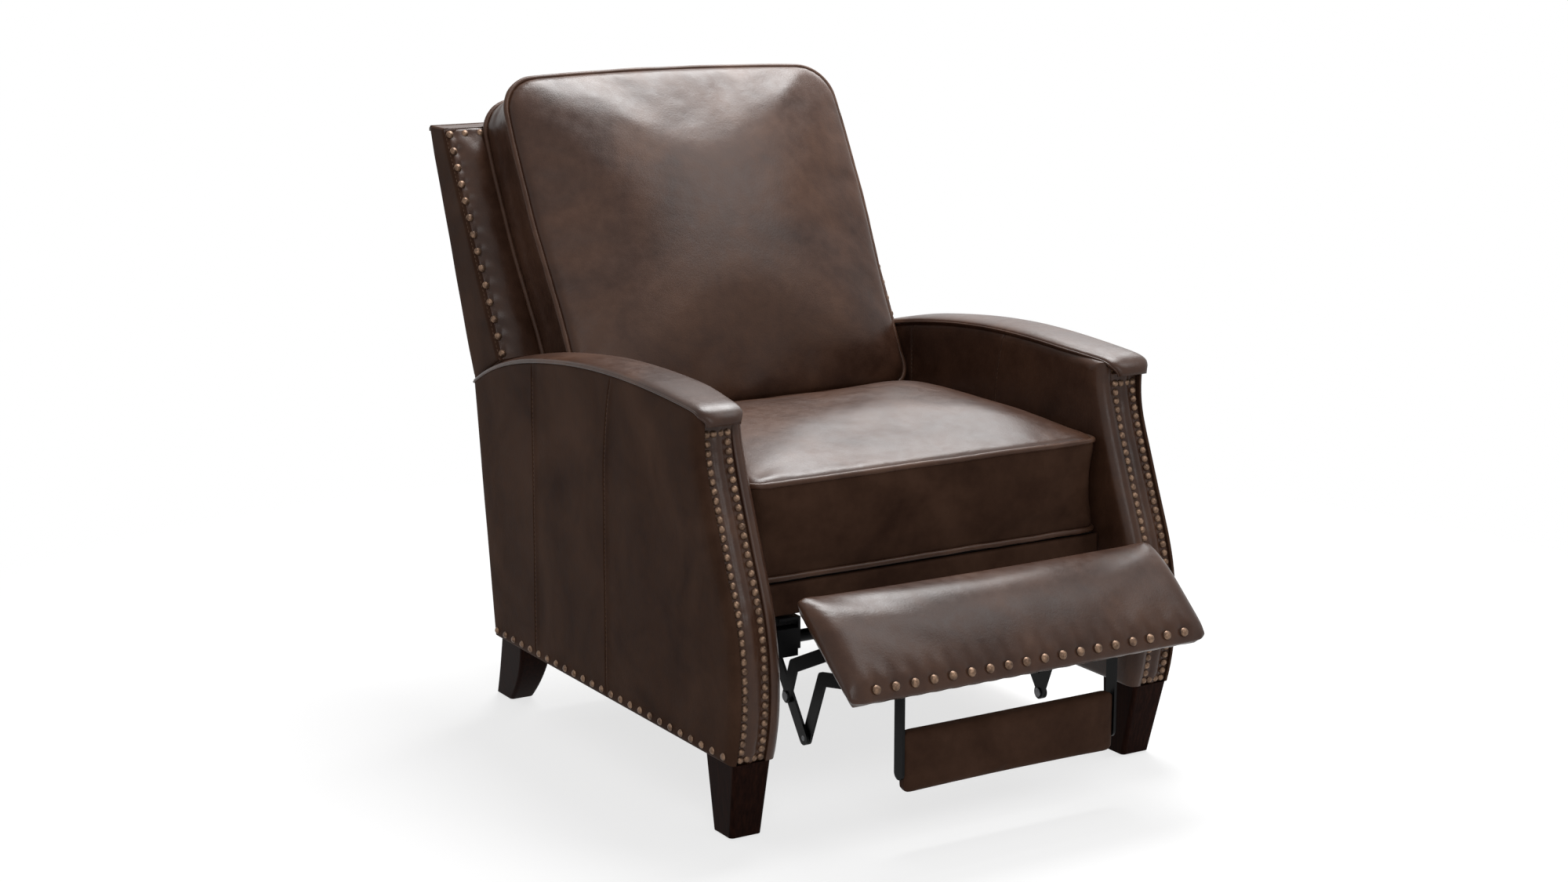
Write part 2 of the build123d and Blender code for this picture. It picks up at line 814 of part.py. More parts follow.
glides = [
    Pos(x, y, glide_height / 2) * Cylinder(glide_radius, glide_height)
    for x, y in ((front_toe_x, front_toe_y), (rear_toe_x, rear_toe_y))
]
save_sides("front_leg", front_leg - bolt_holes[0])
save_sides("rear_leg", rear_leg - bolt_holes[1])
save("leg_glides", *twins(*glides))
save("leg_bolts", *twins(*bolts))

# Arms: wooden frame, leather skins, top pad, nail strip and nails
save_sides("arm_frame", *arm_frame(bolt_holes[0] + bolt_holes[1]))
save_sides("arm_outer_panel", Pos(arm_core_outer, 0, 0) * arm_skin(arm_outer_skin))
save_sides("arm_inner_panel", Pos(arm_core_inner, 0, 0) * mirror(arm_skin(arm_inner_skin), about=Plane.YZ))
save_sides("arm_top_pad", arm_top_pad())
save_sides("arm_nail_strip", nail_strip())
save("arm_rear_strips", *twins(arm_rear_strip()))
save("arm_front_nails", *twins(*strip_nails()))
save("arm_base_nails", *twins(*base_nails()))

# Rails, cross tube and side plates that join the arms and carry the mechanism
cover_y = rear_rail_y + rear_rail_depth
rear_rail = block(-arm_inner, arm_inner, rear_rail_y, cover_y, rear_rail_bottom, rear_rail_top)
rear_rail_cover = block(-arm_inner, arm_inner, cover_y, cover_y + rear_cover, rear_rail_bottom, rear_rail_top)
tube_rear = cross_tube_y + cross_tube_depth
tube_bottom = plate_bottom - cross_tube_height
wall = cross_tube_wall
cross_tube = block(-arm_inner, arm_inner, cross_tube_y, tube_rear, tube_bottom, plate_bottom)
cross_tube -= block(
    -arm_inner, arm_inner, cross_tube_y + wall, tube_rear - wall, tube_bottom + wall, plate_bottom - wall
)
stub_bottom = plate_bottom - mount_rail_drop
mount_rail = block(
    plate_outer,
    arm_inner,
    plate_front_y,
    plate_front_y + mount_rail_depth,
    stub_bottom,
    stub_bottom + mount_rail_height,
)
side_plate = block(plate_x, plate_outer, plate_front_y, rear_rail_y, plate_bottom, plate_top)
flange_outer = plate_outer + plate_flange
flange_rear_y = seat_frame_rear_y - flange_setback
flange_bottom = plate_top - plate_thickness
side_plate += block(plate_outer, flange_outer, plate_front_y, flange_rear_y, flange_bottom, plate_top)
ear_foot = (rear_rail_y - plate_ear_radius, plate_top - plate_ear_radius)
side_plate += link([ear_foot, (back_pivot_y, back_pivot_z)], plate_ear_radius, plate_x, plate_thickness)
side_plate -= eye(pivot_radius, swing_pivot_y, swing_pivot_z)
side_plate -= eye(pivot_radius, back_pivot_y, back_pivot_z)
save("rear_rail", rear_rail)
save("rear_rail_cover", rear_rail_cover)
save("cross_tube", cross_tube)
save("mount_rails", *twins(mount_rail))
save("side_plates", *twins(side_plate))
save("pivot_pins", *twins(
    pin(pivot_radius, link_x, plate_outer, pin_head, swing_pivot_y, swing_pivot_z),
    pin(pivot_radius, stile_inner - soft_gap, plate_x, -pin_head, back_pivot_y, back_pivot_z),
))

# Back: frame, webbing, leather cover, wings and pillow
rail_places = (back_deck_bottom, leg_height + back_mid_rail_rise, back_top - leather - back_rail_height)
web_step = 2 * stile_inner / webbing_count
web_top = back_top - leather
webs = []
for index in range(webbing_count):
    left = -stile_inner + web_step * index + (web_step - webbing_width) / 2
    webs.append(front_band(leather, webbing_thickness, back_deck_bottom, web_top, left, left + webbing_width))
deck = front_band(0, leather, wing_front_bottom, back_top, -back_half_width, back_half_width)
lower = back_lower_half_width
deck += front_band(0, leather, back_deck_bottom, wing_front_bottom, -lower, lower)
rear_panel = rear_band(wing_rear_bottom, back_top, back_half_width)
rear_panel += rear_band(back_bottom, wing_rear_bottom, lower)
top_low = back_top - leather
top_panel = prism(
    [
        (back_front(top_low) + leather, top_low),
        (back_front(back_top) + leather, back_top),
        (back_rear(back_top) - leather, back_top),
        (back_rear(top_low) - leather, top_low),
    ],
    -back_half_width,
    back_half_width,
)
bracket_top = back_pivot_z + back_bracket_height
bracket_line = [(back_pivot_y, back_pivot_z), (back_front(bracket_top) + back_bracket_reach, bracket_top)]
back_bracket = link(bracket_line, back_bracket_half_width, bracket_x, plate_thickness)
save("back_stiles", *twins(stile()))
save("back_rails", *[back_rail(z) for z in rail_places])
save("wing_blocks", *twins(wing(stile_outer, wing_inner)))
save("back_webbing", *webs)
save("back_deck", deck)
save("back_rear_panel", rear_panel)
save_sides("wing_panel", wing(wing_inner, back_half_width))
save("back_top_panel", top_panel)
save("back_brackets", *twins(back_bracket - eye(pivot_radius, back_pivot_y, back_pivot_z)))
save("wing_nails", *twins(*wing_nails()))

pillow_place = back_plane(pillow_foot_z).location * Pos(0, pillow_length / 2, soft_gap)
pillow_size = (2 * pillow_half_width, pillow_length, pillow_corner)
pillow = cushion(*pillow_size, pillow_boxing, pillow_draw_in, pillow_crown)
pillow -= welt(*pillow_size, pillow_boxing, welt_radius + welt_gap)
pillow -= welt(*pillow_size, foot_seam, welt_radius + welt_gap)
save("back_pillow", pillow_place * pillow)
save("back_pillow_front_welt", pillow_place * welt(*pillow_size, pillow_boxing, welt_radius))
save("back_pillow_rear_welt", pillow_place * welt(*pillow_size, foot_seam, welt_radius))

# Seat: frame, springs, deck, cushion and the glides it slides on
frame_front = seat_front_y + seat_front_cover
front_rail_rear = frame_front + seat_front_rail_depth
rear_rail_front = seat_frame_rear_y - seat_rear_rail_depth
seat_rails = []
for x_low, x_high, y_low, y_high in (
    (-seat_rail_outer, seat_rail_outer, frame_front, front_rail_rear),
    (-seat_rail_inner, seat_rail_inner, rear_rail_front, seat_frame_rear_y),
    (-seat_rail_outer, -seat_rail_inner, front_rail_rear, seat_frame_rear_y),
    (seat_rail_inner, seat_rail_outer, front_rail_rear, seat_frame_rear_y),
):
    seat_rails.append(block(x_low, x_high, y_low, y_high, seat_frame_bottom, seat_frame_top))
half = seat_half_width
front_cover = block(-half, half, seat_front_y, frame_front, seat_frame_bottom, seat_frame_top)
spring_z = seat_frame_top - spring_wire - soft_gap
spring_pitch = 2 * seat_rail_inner / spring_count
springs = []
for index in range(spring_count):
    x = spring_pitch * (index - (spring_count - 1) / 2)
    path = spring_path(x, front_rail_rear, rear_rail_front, spring_z)
    springs.append(sweep(Plane(origin=path @ 0, z_dir=path % 0) * Circle(spring_wire), path=path))
print("least gap in a seat spring", round(least_gap(path, spring_wire), 2))
deck_half = seat_rail_outer
deck_sheet = block(-deck_half, deck_half, frame_front, seat_frame_rear_y, seat_frame_top, seat_deck_top)
glide_low = plate_top + seat_glide_gap
glide_outer = seat_rail_inner + seat_glide_width
seat_glide = block(seat_rail_inner, glide_outer, front_rail_rear, flange_rear_y, glide_low, seat_frame_bottom)
seat_place = Pos(0, (seat_front_y + seat_cushion_rear_y) / 2, seat_bottom_z)
seat_size = (2 * seat_half_width, seat_length, seat_corner)
seat_cushion = cushion(*seat_size, seat_boxing, seat_draw_in, seat_crown)
seat_cushion -= welt(*seat_size, seat_boxing, welt_radius + welt_gap)
seat_cushion -= welt(*seat_size, foot_seam, welt_radius + welt_gap)
save("seat_frame", *seat_rails)
save("seat_front_rail", front_cover)
save("seat_springs", *springs)
save("seat_deck", deck_sheet)
save("seat_glides", *twins(seat_glide))
save("seat_cushion", seat_place * seat_cushion)
save("seat_top_welt", seat_place * welt(*seat_size, seat_boxing, welt_radius))
save("seat_bottom_welt", seat_place * welt(*seat_size, foot_seam, welt_radius))

# Footrest linkage: swing links, lift links and guide links on pins
swing_pivot = (swing_pivot_y, swing_pivot_z)
knee_pivot = (knee_y, knee_z)
guide_pivot = (guide_y, guide_z)
lift_end = (lift_end_y, lift_end_z)
guide_end = (guide_end_y, guide_end_z)
tube_place = (
    swing_pivot_y + swing_tube_share * (knee_y - swing_pivot_y),
    swing_pivot_z + swing_tube_share * (knee_z - swing_pivot_z),
)
swing_link = link([swing_pivot, knee_pivot], link_half_width, link_x, link_thickness)
swing_link -= eye(pivot_radius, *swing_pivot)
swing_link -= eye(pin_radius, *knee_pivot)
swing_link -= eye(pin_radius, *guide_pivot)
lift_corner = (knee_y + lift_bend_y, knee_z + lift_bend_z)
lift_link = link([knee_pivot, lift_corner, lift_end], link_half_width, lift_x, link_thickness)
lift_link -= eye(pin_radius, *knee_pivot)
lift_link -= eye(pin_radius, *lift_end)
guide_corner = (guide_y + guide_bend_y, guide_z + guide_bend_z)
guide_link = link([guide_pivot, guide_corner, guide_end], link_half_width, guide_x, link_thickness)
guide_link -= eye(pin_radius, *guide_pivot)
guide_link -= eye(pin_radius, *guide_end)
web_outer = link_x + link_thickness
guide_outer = guide_x + link_thickness
save("swing_links", *twins(swing_link))
save("swing_tube", rod(swing_tube_radius, -link_x, link_x, *tube_place))
save("lift_links", *twins(lift_link))
save("guide_links", *twins(guide_link))
save("link_pins", *twins(
    pin(pin_radius, web_outer, lift_x, -pin_head, *knee_pivot),
    pin(pin_radius, link_x, guide_outer, pin_head, *guide_pivot),
))

# Footrest: board, pad, nails and the brackets that the links carry
board_low = footrest_board_margin
board_high = footrest_length - footrest_board_margin
board_half = footrest_half_width - footrest_board_margin
board = footrest_slab(board_low, board_high, -footrest_board_thickness, 0, -board_half, board_half)
foot_low = on_footrest(bracket_low, -footrest_board_thickness)
foot_high = on_footrest(bracket_high, -footrest_board_thickness)
bracket = lug(foot_low, foot_high, [lift_end, guide_end], bracket_eye_radius, link_x, link_thickness)
flange_low = -footrest_board_thickness - link_thickness
bracket += footrest_slab(bracket_low, bracket_high, flange_low, -footrest_board_thickness, lug_x, web_outer)
hinge = on_footrest(flap_pivot_along, -flap_pivot_below)
bracket += lug(foot_low, foot_high, [hinge], bracket_eye_radius, lug_x, link_thickness)
bracket -= eye(pin_radius, *lift_end)
bracket -= eye(pin_radius, *guide_end)
bracket -= eye(pin_radius, *hinge)
save("footrest_board", board)
save("footrest_pad", footrest_pad())
save("footrest_nails", *footrest_nails())
save("footrest_brackets", *twins(bracket))
save("footrest_pins", *twins(
    pin(pin_radius, web_outer, lift_x, -pin_head, *lift_end),
    pin(pin_radius, link_x, guide_outer, pin_head, *guide_end),
))

# Flap on two hangers under the front of the footrest
flap_top = hinge[1] - flap_drop
flap_rear_y = hinge[0] - flap_lead + flap_thickness
flap_boxing = flap_thickness - flap_crown
flap_plane = Plane(origin=(0, flap_rear_y, flap_top - flap_height / 2), x_dir=(1, 0, 0), z_dir=(0, -1, 0))
flap_pad = cushion(2 * flap_half_width, flap_height, flap_corner, flap_boxing, flap_draw_in, flap_crown)
hanger_foot = (hinge[0], flap_top - hanger_lap)
hanger = link([hinge, hanger_foot], hanger_half_width, flap_half_width, hanger_thickness)
save("flap_pad", flap_plane.location * flap_pad)
save("flap_hangers", *twins(hanger - eye(pin_radius, *hinge)))
save("flap_pins", *twins(pin(pin_radius, lug_x + link_thickness, flap_half_width, -pin_head, *hinge)))
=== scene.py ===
import math

import bmesh
import bpy
import numpy as np
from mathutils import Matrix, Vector, kdtree


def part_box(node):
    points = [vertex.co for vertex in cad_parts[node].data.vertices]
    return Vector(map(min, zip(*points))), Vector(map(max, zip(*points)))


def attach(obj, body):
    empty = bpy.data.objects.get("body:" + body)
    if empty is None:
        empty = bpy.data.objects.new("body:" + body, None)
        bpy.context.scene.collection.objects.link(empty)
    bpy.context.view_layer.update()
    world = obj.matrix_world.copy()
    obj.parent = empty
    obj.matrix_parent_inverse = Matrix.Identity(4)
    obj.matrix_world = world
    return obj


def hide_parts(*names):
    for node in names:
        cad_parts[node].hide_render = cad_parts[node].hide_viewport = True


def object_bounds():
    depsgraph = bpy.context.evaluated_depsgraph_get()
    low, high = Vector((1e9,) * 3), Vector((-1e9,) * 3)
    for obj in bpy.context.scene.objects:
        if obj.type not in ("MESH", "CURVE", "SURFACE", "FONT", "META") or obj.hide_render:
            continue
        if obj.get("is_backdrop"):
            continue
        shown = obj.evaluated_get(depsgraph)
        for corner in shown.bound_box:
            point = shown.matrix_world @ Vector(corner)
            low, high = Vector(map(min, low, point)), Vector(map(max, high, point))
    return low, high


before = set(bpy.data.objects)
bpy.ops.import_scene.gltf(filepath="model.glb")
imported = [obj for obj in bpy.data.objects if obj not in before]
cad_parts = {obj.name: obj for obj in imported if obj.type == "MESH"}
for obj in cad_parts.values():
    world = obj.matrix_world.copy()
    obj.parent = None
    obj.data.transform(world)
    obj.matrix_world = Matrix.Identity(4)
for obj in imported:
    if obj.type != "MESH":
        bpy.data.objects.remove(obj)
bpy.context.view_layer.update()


# Legs. Two square tapered legs in front and two raked sabre legs behind, sawn from rubberwood,
# stained dark espresso and lacquered. One bolt draws each of them up against its arm frame.

def linear(code):
    """Linear colour of an sRGB hex value."""
    parts = [int(code[place:place + 2], 16) / 255 for place in (1, 3, 5)]
    return [part / 12.92 if part <= 0.04045 else ((part + 0.055) / 1.055) ** 2.4 for part in parts] + [1.0]


def add(tree, kind, settings=None, links=None):
    """Add a node with its settings, by input or by attribute, and its links."""
    node = tree.nodes.new(kind)
    for key, value in (settings or {}).items():
        if key == "stops":
            while len(node.color_ramp.elements) < len(value):
                node.color_ramp.elements.new(0.5)
            for stop, (place, colour) in zip(node.color_ramp.elements, value):
                stop.position = place
                stop.color = colour
        elif isinstance(key, int) or key in node.inputs:
            node.inputs[key].default_value = value
        else:
            setattr(node, key, value)
    for key, socket in (links or {}).items():
        tree.links.new(socket, node.inputs[key])
    return node


def finish_tree(name):
    """Empty node tree of a new finish, with its place in the object's own metres."""
    finish = bpy.data.materials.new(name)
    finish.use_nodes = True
    finish.node_tree.nodes.clear()
    place = add(finish.node_tree, "ShaderNodeTexCoord").outputs["Object"]
    return finish, finish.node_tree, place


def wear(finish, *nodes):
    """Give CAD pieces a finish."""
    for node in nodes:
        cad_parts[node].material_slots[0].material = finish


def mottled_finish(name, sizes, pattern, tones, settings, shine=None, bump=None):
    """Finish in uneven tones, with mottles of given sizes in metres along x, y and z.

    Its roughness may follow the mottles between two values, and so may a bump of a strength and a depth.
    """
    finish, tree, place = finish_tree(name)
    stretched = add(tree, "ShaderNodeMapping", {"Scale": [1 / size for size in sizes]}, {"Vector": place})
    mottles = add(tree, "ShaderNodeTexNoise", {"Scale": 1.0, **pattern}, {"Vector": stretched.outputs[0]})
    stops = [(share, linear(code)) for share, code in tones]
    tone = add(tree, "ShaderNodeValToRGB", {"stops": stops}, {"Fac": mottles.outputs[0]})
    links = {"Base Color": tone.outputs[0]}
    if shine:
        low, high = shine
        rough = add(tree, "ShaderNodeMapRange", {"To Min": low, "To Max": high},
                    {"Value": mottles.outputs[0]})
        links["Roughness"] = rough.outputs[0]
    if bump:
        strength, depth = bump
        grain = add(tree, "ShaderNodeBump", {"Strength": strength, "Distance": depth},
                    {"Height": mottles.outputs[0]})
        links["Normal"] = grain.outputs[0]
    shader = add(tree, "ShaderNodeBsdfPrincipled", settings, links)
    add(tree, "ShaderNodeOutputMaterial", None, {"Surface": shader.outputs[0]})
    return finish


# Lacquered rubberwood: close straight grain under a dark stain, with a low even shine.
grain_width = 0.0035
grain_length = 0.16
espresso_wood = mottled_finish("lacquered_rubberwood", (grain_width, grain_width, grain_length),
                               {"Detail": 5.0, "Roughness": 0.6},
                               [(0.3, "#120806"), (0.52, "#1c0e0a"), (0.75, "#26140e")],
                               {"Specular IOR Level": 0.015}, shine=(0.38, 0.5), bump=(0.25, 0.0006))
wear(espresso_wood, "left_front_leg", "right_front_leg", "left_rear_leg", "right_rear_leg")


# Glides and bolts. Round nylon glides are pressed under the feet, nylon strips slide under the seat, and
# zinc-plated bolts and pivot pins hold the legs and the links.

# Nylon: moulded, off-white gone grey with use, softly shiny.
scuff_size = 0.012
nylon = mottled_finish("moulded_nylon", [scuff_size] * 3, {"Detail": 4.0},
                       [(0.35, "#8f8b82"), (0.65, "#b9b5aa")], {"Roughness": 0.45, "IOR": 1.53})
wear(nylon, "leg_glides", "seat_glides")

# Zinc-plated steel: grey and slightly cloudy, with turning marks too fine to show.
cloud_size = 0.004
zinc_steel = mottled_finish("zinc_plated_steel", [cloud_size] * 3, {"Detail": 3.0},
                            [(0.3, "#4c4c4e"), (0.7, "#747476")], {"Metallic": 1.0}, shine=(0.3, 0.5))
wear(zinc_steel, "leg_bolts", "pivot_pins", "link_pins", "footrest_pins", "flap_pins")


# Wooden frames. The arms, the seat, the back and the footrest board are sawn poplar, glued and stapled.
# They carry everything, and leather hides nearly all of them.

# Sawn poplar: tan, with open grain and matt, never sanded or stained.
board_grain = 0.006
board_figure = 0.25
poplar = mottled_finish("sawn_poplar", (board_figure, board_grain, board_grain), {"Detail": 4.0},
                        [(0.3, "#75583a"), (0.7, "#9a7a54")], {"Roughness": 0.75}, bump=(0.4, 0.0005))
wear(poplar, "left_arm_frame", "right_arm_frame", "rear_rail", "seat_frame", "back_stiles", "back_rails",
     "wing_blocks", "footrest_board")


# Ironwork. Side plates, cross tube, mounting rails, links, brackets and hangers are stamped or drawn
# steel, powder coated black, riveted and bolted together.

# Powder-coated steel: near black, satin, with the fine orange peel of a baked coat.
black_steel, tree, place = finish_tree("powder_coated_steel")
peel_size = 0.0022
dust_size = 0.05
peel = add(tree, "ShaderNodeTexNoise", {"Scale": 1 / peel_size, "Detail": 2.0}, {"Vector": place})
dust = add(tree, "ShaderNodeTexNoise", {"Scale": 1 / dust_size, "Detail": 4.0}, {"Vector": place})
tone = add(tree, "ShaderNodeValToRGB", {"stops": [(0.35, linear("#030304")), (0.7, linear("#09090a"))]},
           {"Fac": dust.outputs[0]})
shine = add(tree, "ShaderNodeMapRange", {"To Min": 0.34, "To Max": 0.5}, {"Value": dust.outputs[0]})
coat = add(tree, "ShaderNodeBump", {"Strength": 0.15, "Distance": 0.0003}, {"Height": peel.outputs[0]})
shader = add(tree, "ShaderNodeBsdfPrincipled", {"Specular IOR Level": 0.12},
             {"Base Color": tone.outputs[0], "Roughness": shine.outputs[0], "Normal": coat.outputs[0]})
add(tree, "ShaderNodeOutputMaterial", None, {"Surface": shader.outputs[0]})
wear(black_steel, "cross_tube", "mount_rails", "side_plates", "back_brackets", "swing_links", "swing_tube",
     "lift_links", "guide_links", "footrest_brackets", "flap_hangers")


# Arm covers. Each arm has a leather side over thin foam outside and a softer one inside, sewn from three
# widths with plain seams, pulled over the frame and stapled under it.

mm = 0.001


def far_line(node, along, across, sign, places):
    """Furthest reach of a CAD piece across one axis, in mm, at places along another."""
    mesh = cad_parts[node].data
    points = np.array([vertex.co for vertex in mesh.vertices]) / mm
    ends = np.array([edge.vertices[:] for edge in mesh.edges])
    first, second = points[ends[:, 0]], points[ends[:, 1]]
    reach = []
    for here in places:
        before, after = first[:, along] - here, second[:, along] - here
        cut = (before * after <= 0) & (np.abs(before - after) > 1e-6)
        share = before[cut] / (before[cut] - after[cut])
        values = first[cut, across] + share * (second[cut, across] - first[cut, across])
        reach.append(sign * np.max(sign * values))
    return np.array(reach)


def waves(points, size, seed):
    """Soft unevenness from about -1 to 1, with swells of about one size in mm."""
    draw = np.random.default_rng(seed)
    total = np.zeros(points.shape[:-1])
    for _ in range(9):
        heading = draw.normal(size=3)
        heading *= 2 * math.pi / (size * draw.uniform(0.7, 1.6)) / np.linalg.norm(heading)
        total += np.sin(points @ heading + draw.uniform(0, 2 * math.pi))
    return total / 4


def smooth_step(values, low, high):
    """Ease from 0 at low to 1 at high."""
    share = np.clip((values - low) / (high - low), 0, 1)
    return share * share * (3 - 2 * share)


def roll(distance, width, depth):
    """Drop of a rolled edge at a distance in from it."""
    share = np.clip(1 - distance / width, 0, 1)
    return depth * (1 - np.sqrt(1 - share ** 2))


def spread(width, step, close=(0.0, 0.8, 1.8, 3.2, 5.0, 7.5, 11.0, 16.0)):
    """Shares across a width: fine steps close to both ends, even ones between."""
    close = np.array(close)
    count = max(2, round((width - 2 * close[-1]) / step))
    middle = np.linspace(close[-1], width - close[-1], count)
    return np.concatenate([close[:-1], middle, (width - close[:-1])[::-1]]) / width


def shell(face, back):
    """Closed skin between a face and its back, two grids of points of the same make-up."""
    rows, columns = face.shape[:2]
    count = rows * columns
    points = np.concatenate([face.reshape(-1, 3), back.reshape(-1, 3)])
    faces = []
    for row in range(rows - 1):
        for column in range(columns - 1):
            first = row * columns + column
            quad = (first, first + 1, first + columns + 1, first + columns)
            faces.append(quad)
            faces.append(tuple(count + corner for corner in reversed(quad)))
    rim = [(0, column) for column in range(columns)]
    rim += [(row, columns - 1) for row in range(1, rows)]
    rim += [(rows - 1, column) for column in range(columns - 2, -1, -1)]
    rim += [(row, 0) for row in range(rows - 2, 0, -1)]
    rim = [row * columns + column for row, column in rim]
    for here, after in zip(rim, rim[1:] + rim[:1]):
        faces.append((after, here, count + here, count + after))
    return points, faces


def make(name, parts, finish, body, nodes=()):
    """One sewn piece from closed parts in mm, riding on a body in place of its CAD nodes."""
    points = np.concatenate([part[0] for part in parts]) * mm
    faces = []
    start = 0
    for part_points, part_faces in parts:
        faces += [tuple(start + corner for corner in face) for face in part_faces]
        start += len(part_points)
    mesh = bpy.data.meshes.new(name)
    mesh.from_pydata(points.tolist(), [], faces)
    form = bmesh.new()
    form.from_mesh(mesh)
    bmesh.ops.recalc_face_normals(form, faces=form.faces)
    form.to_mesh(mesh)
    form.free()
    mesh.shade_smooth()
    mesh.materials.append(finish)
    piece = bpy.data.objects.new(name, mesh)
    bpy.context.scene.collection.objects.link(piece)
    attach(piece, body)
    if nodes:
        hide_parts(*nodes)
    return piece


def tube(path, radius, closed, sides=10):
    """Round cord along a path in mm, with a radius that may change from point to point."""
    path = np.asarray(path, float)
    count = len(path)
    radius = np.broadcast_to(radius, count)
    if closed:
        along = np.roll(path, -1, axis=0) - np.roll(path, 1, axis=0)
    else:
        along = np.gradient(path, axis=0)
    along /= np.linalg.norm(along, axis=1)[:, None]
    side = np.cross(along, np.cross(along[0], [0.3, 0.5, 0.8]))
    for here in range(count):
        before = side[here - 1] if here else side[0]
        side[here] = before - along[here] * (before @ along[here])
        side[here] /= np.linalg.norm(side[here])
    lift = np.cross(along, side)
    turn = np.arange(sides) * 2 * math.pi / sides
    rings = path[:, None] + radius[:, None, None] * (
        np.cos(turn)[None, :, None] * side[:, None] + np.sin(turn)[None, :, None] * lift[:, None])
    faces = []
    for ring in range(count if closed else count - 1):
        after = (ring + 1) % count
        for corner in range(sides):
            beside = (corner + 1) % sides
            faces.append((ring * sides + corner, ring * sides + beside,
                          after * sides + beside, after * sides + corner))
    if not closed:
        faces.append(tuple(range(sides - 1, -1, -1)))
        faces.append(tuple((count - 1) * sides + corner for corner in range(sides)))
    return rings.reshape(-1, 3), faces


def stepped(path, step, closed=False):
    """Points at an even step along a path, without the last one where the path closes."""
    gaps = np.linalg.norm(np.diff(path, axis=0), axis=1)
    run = np.concatenate([[0], np.cumsum(gaps)])
    count = round(run[-1] / step) if closed else max(4, round(run[-1] / step) + 1)
    places = np.linspace(0, run[-1], count, endpoint=not closed)
    return np.stack([np.interp(places, run, values) for values in path.T], axis=1)


def even(path, step):
    """The same path with points at an even step, its corners eased."""
    path = np.asarray(path, float)
    for _ in range(2):
        path = stepped(path, step)
        for _ in range(3):
            path[1:-1] = (path[:-2] + 2 * path[1:-1] + path[2:]) / 4
    return path


def stitches(path, pitch=7.0, length=4.8, thread_radius=0.6):
    """Row of stitches along a path in mm."""
    path = even(path, pitch)
    ends = np.array([0.35, 1.0, 1.0, 0.35]) * thread_radius
    rows = []
    for start, after in zip(path[:-1], path[1:]):
        steps = np.linspace(0, length / pitch, 4)[:, None]
        rows.append(tube(start + steps * (after - start), ends, False, 6))
    return rows


# Pull-up leather: aniline dyed dark brown, waxed and plated smooth. It shows a fine pebble grain, cloudy
# red-brown and near-black tone, and a broad soft shine.
def leather_finish(name, dark, middle, light, shine_low, shine_high, gloss):
    """Leather in three tones, from its deep to its rubbed parts, with the gloss of its wax."""
    finish, tree, place = finish_tree(name)
    cloud_size = 0.13
    fleck_size = 0.018
    # The real pebbles are near 1 mm, and are drawn coarser here so that they show
    pebble_size = 0.0024
    clouds = add(tree, "ShaderNodeTexNoise", {"Scale": 1 / cloud_size, "Detail": 3.0, "Roughness": 0.5,
                                              "Distortion": 0.6}, {"Vector": place})
    flecks = add(tree, "ShaderNodeTexNoise", {"Scale": 1 / fleck_size, "Detail": 4.0, "Roughness": 0.6},
                 {"Vector": place})
    mingled = add(tree, "ShaderNodeMix", {"data_type": "FLOAT", 0: 0.25},
                  {2: clouds.outputs[0], 3: flecks.outputs[0]})
    tone = add(tree, "ShaderNodeValToRGB", {"stops": [
        (0.32, linear(dark)), (0.5, linear(middle)), (0.7, linear(light))]}, {"Fac": mingled.outputs[0]})
    shine = add(tree, "ShaderNodeMapRange", {"From Min": 0.3, "From Max": 0.7, "To Min": shine_low,
                                             "To Max": shine_high}, {"Value": flecks.outputs[0]})
    pebbles = add(tree, "ShaderNodeTexVoronoi", {"Scale": 1 / pebble_size, "feature": "SMOOTH_F1"},
                  {"Vector": place})
    pull = add(tree, "ShaderNodeBump", {"Strength": 0.25, "Distance": 0.0012}, {"Height": flecks.outputs[0]})
    grain = add(tree, "ShaderNodeBump", {"Strength": 0.22, "Distance": 0.0004},
                {"Height": pebbles.outputs["Distance"], "Normal": pull.outputs[0]})
    shader = add(tree, "ShaderNodeBsdfPrincipled", {"Specular IOR Level": gloss},
                 {"Base Color": tone.outputs[0], "Roughness": shine.outputs[0], "Normal": grain.outputs[0]})
    add(tree, "ShaderNodeOutputMaterial", None, {"Surface": shader.outputs[0]})
    return finish


leather = leather_finish("pull_up_leather", "#2a1911", "#38241a", "#452e21", 0.3, 0.4, 0.22)
# The piping's leather is lighter in all its tones, partly from real rubbing of the welts and partly as a
# painted highlight along the cords.
wear_and_highlight_leather = leather_finish("wear_and_highlight_leather_edge", "#311f15", "#402b20", "#50392c", 0.32, 0.4, 0.16)
# The sides are cut from flatter, less handled leather, with hardly any shine
side_leather = leather_finish("dull_side_leather", "#291a13", "#35241b", "#402d23", 0.48, 0.58, 0.02)

# Bonded polyester thread: twisted, brown and a little lighter than the leather, dull.
thread, tree, place = finish_tree("bonded_thread")
twist_size = 0.0016
twist = add(tree, "ShaderNodeTexWave", {"Scale": 1 / twist_size, "Distortion": 1.0}, {"Vector": place})
tone = add(tree, "ShaderNodeValToRGB", {"stops": [(0.2, linear("#3d2b20")), (0.8, linear("#5f4737"))]},
           {"Fac": twist.outputs["Fac"]})
shader = add(tree, "ShaderNodeBsdfPrincipled", {"Roughness": 0.7, "Specular IOR Level": 0.2},
             {"Base Color": tone.outputs[0]})
add(tree, "ShaderNodeOutputMaterial", None, {"Surface": shader.outputs[0]})

arm_node = "left_arm_outer_panel"
arm_foot = 116.0
arm_front_height = 580.0
arm_front_top_y = -314.0
arm_rear_y = 393.0
arm_rear_foot_y = 337.0
arm_rear_rise = 396.0
arm_rear_lean = (arm_rear_y - arm_rear_foot_y) / arm_rear_rise
welt_above_skin = 8.0
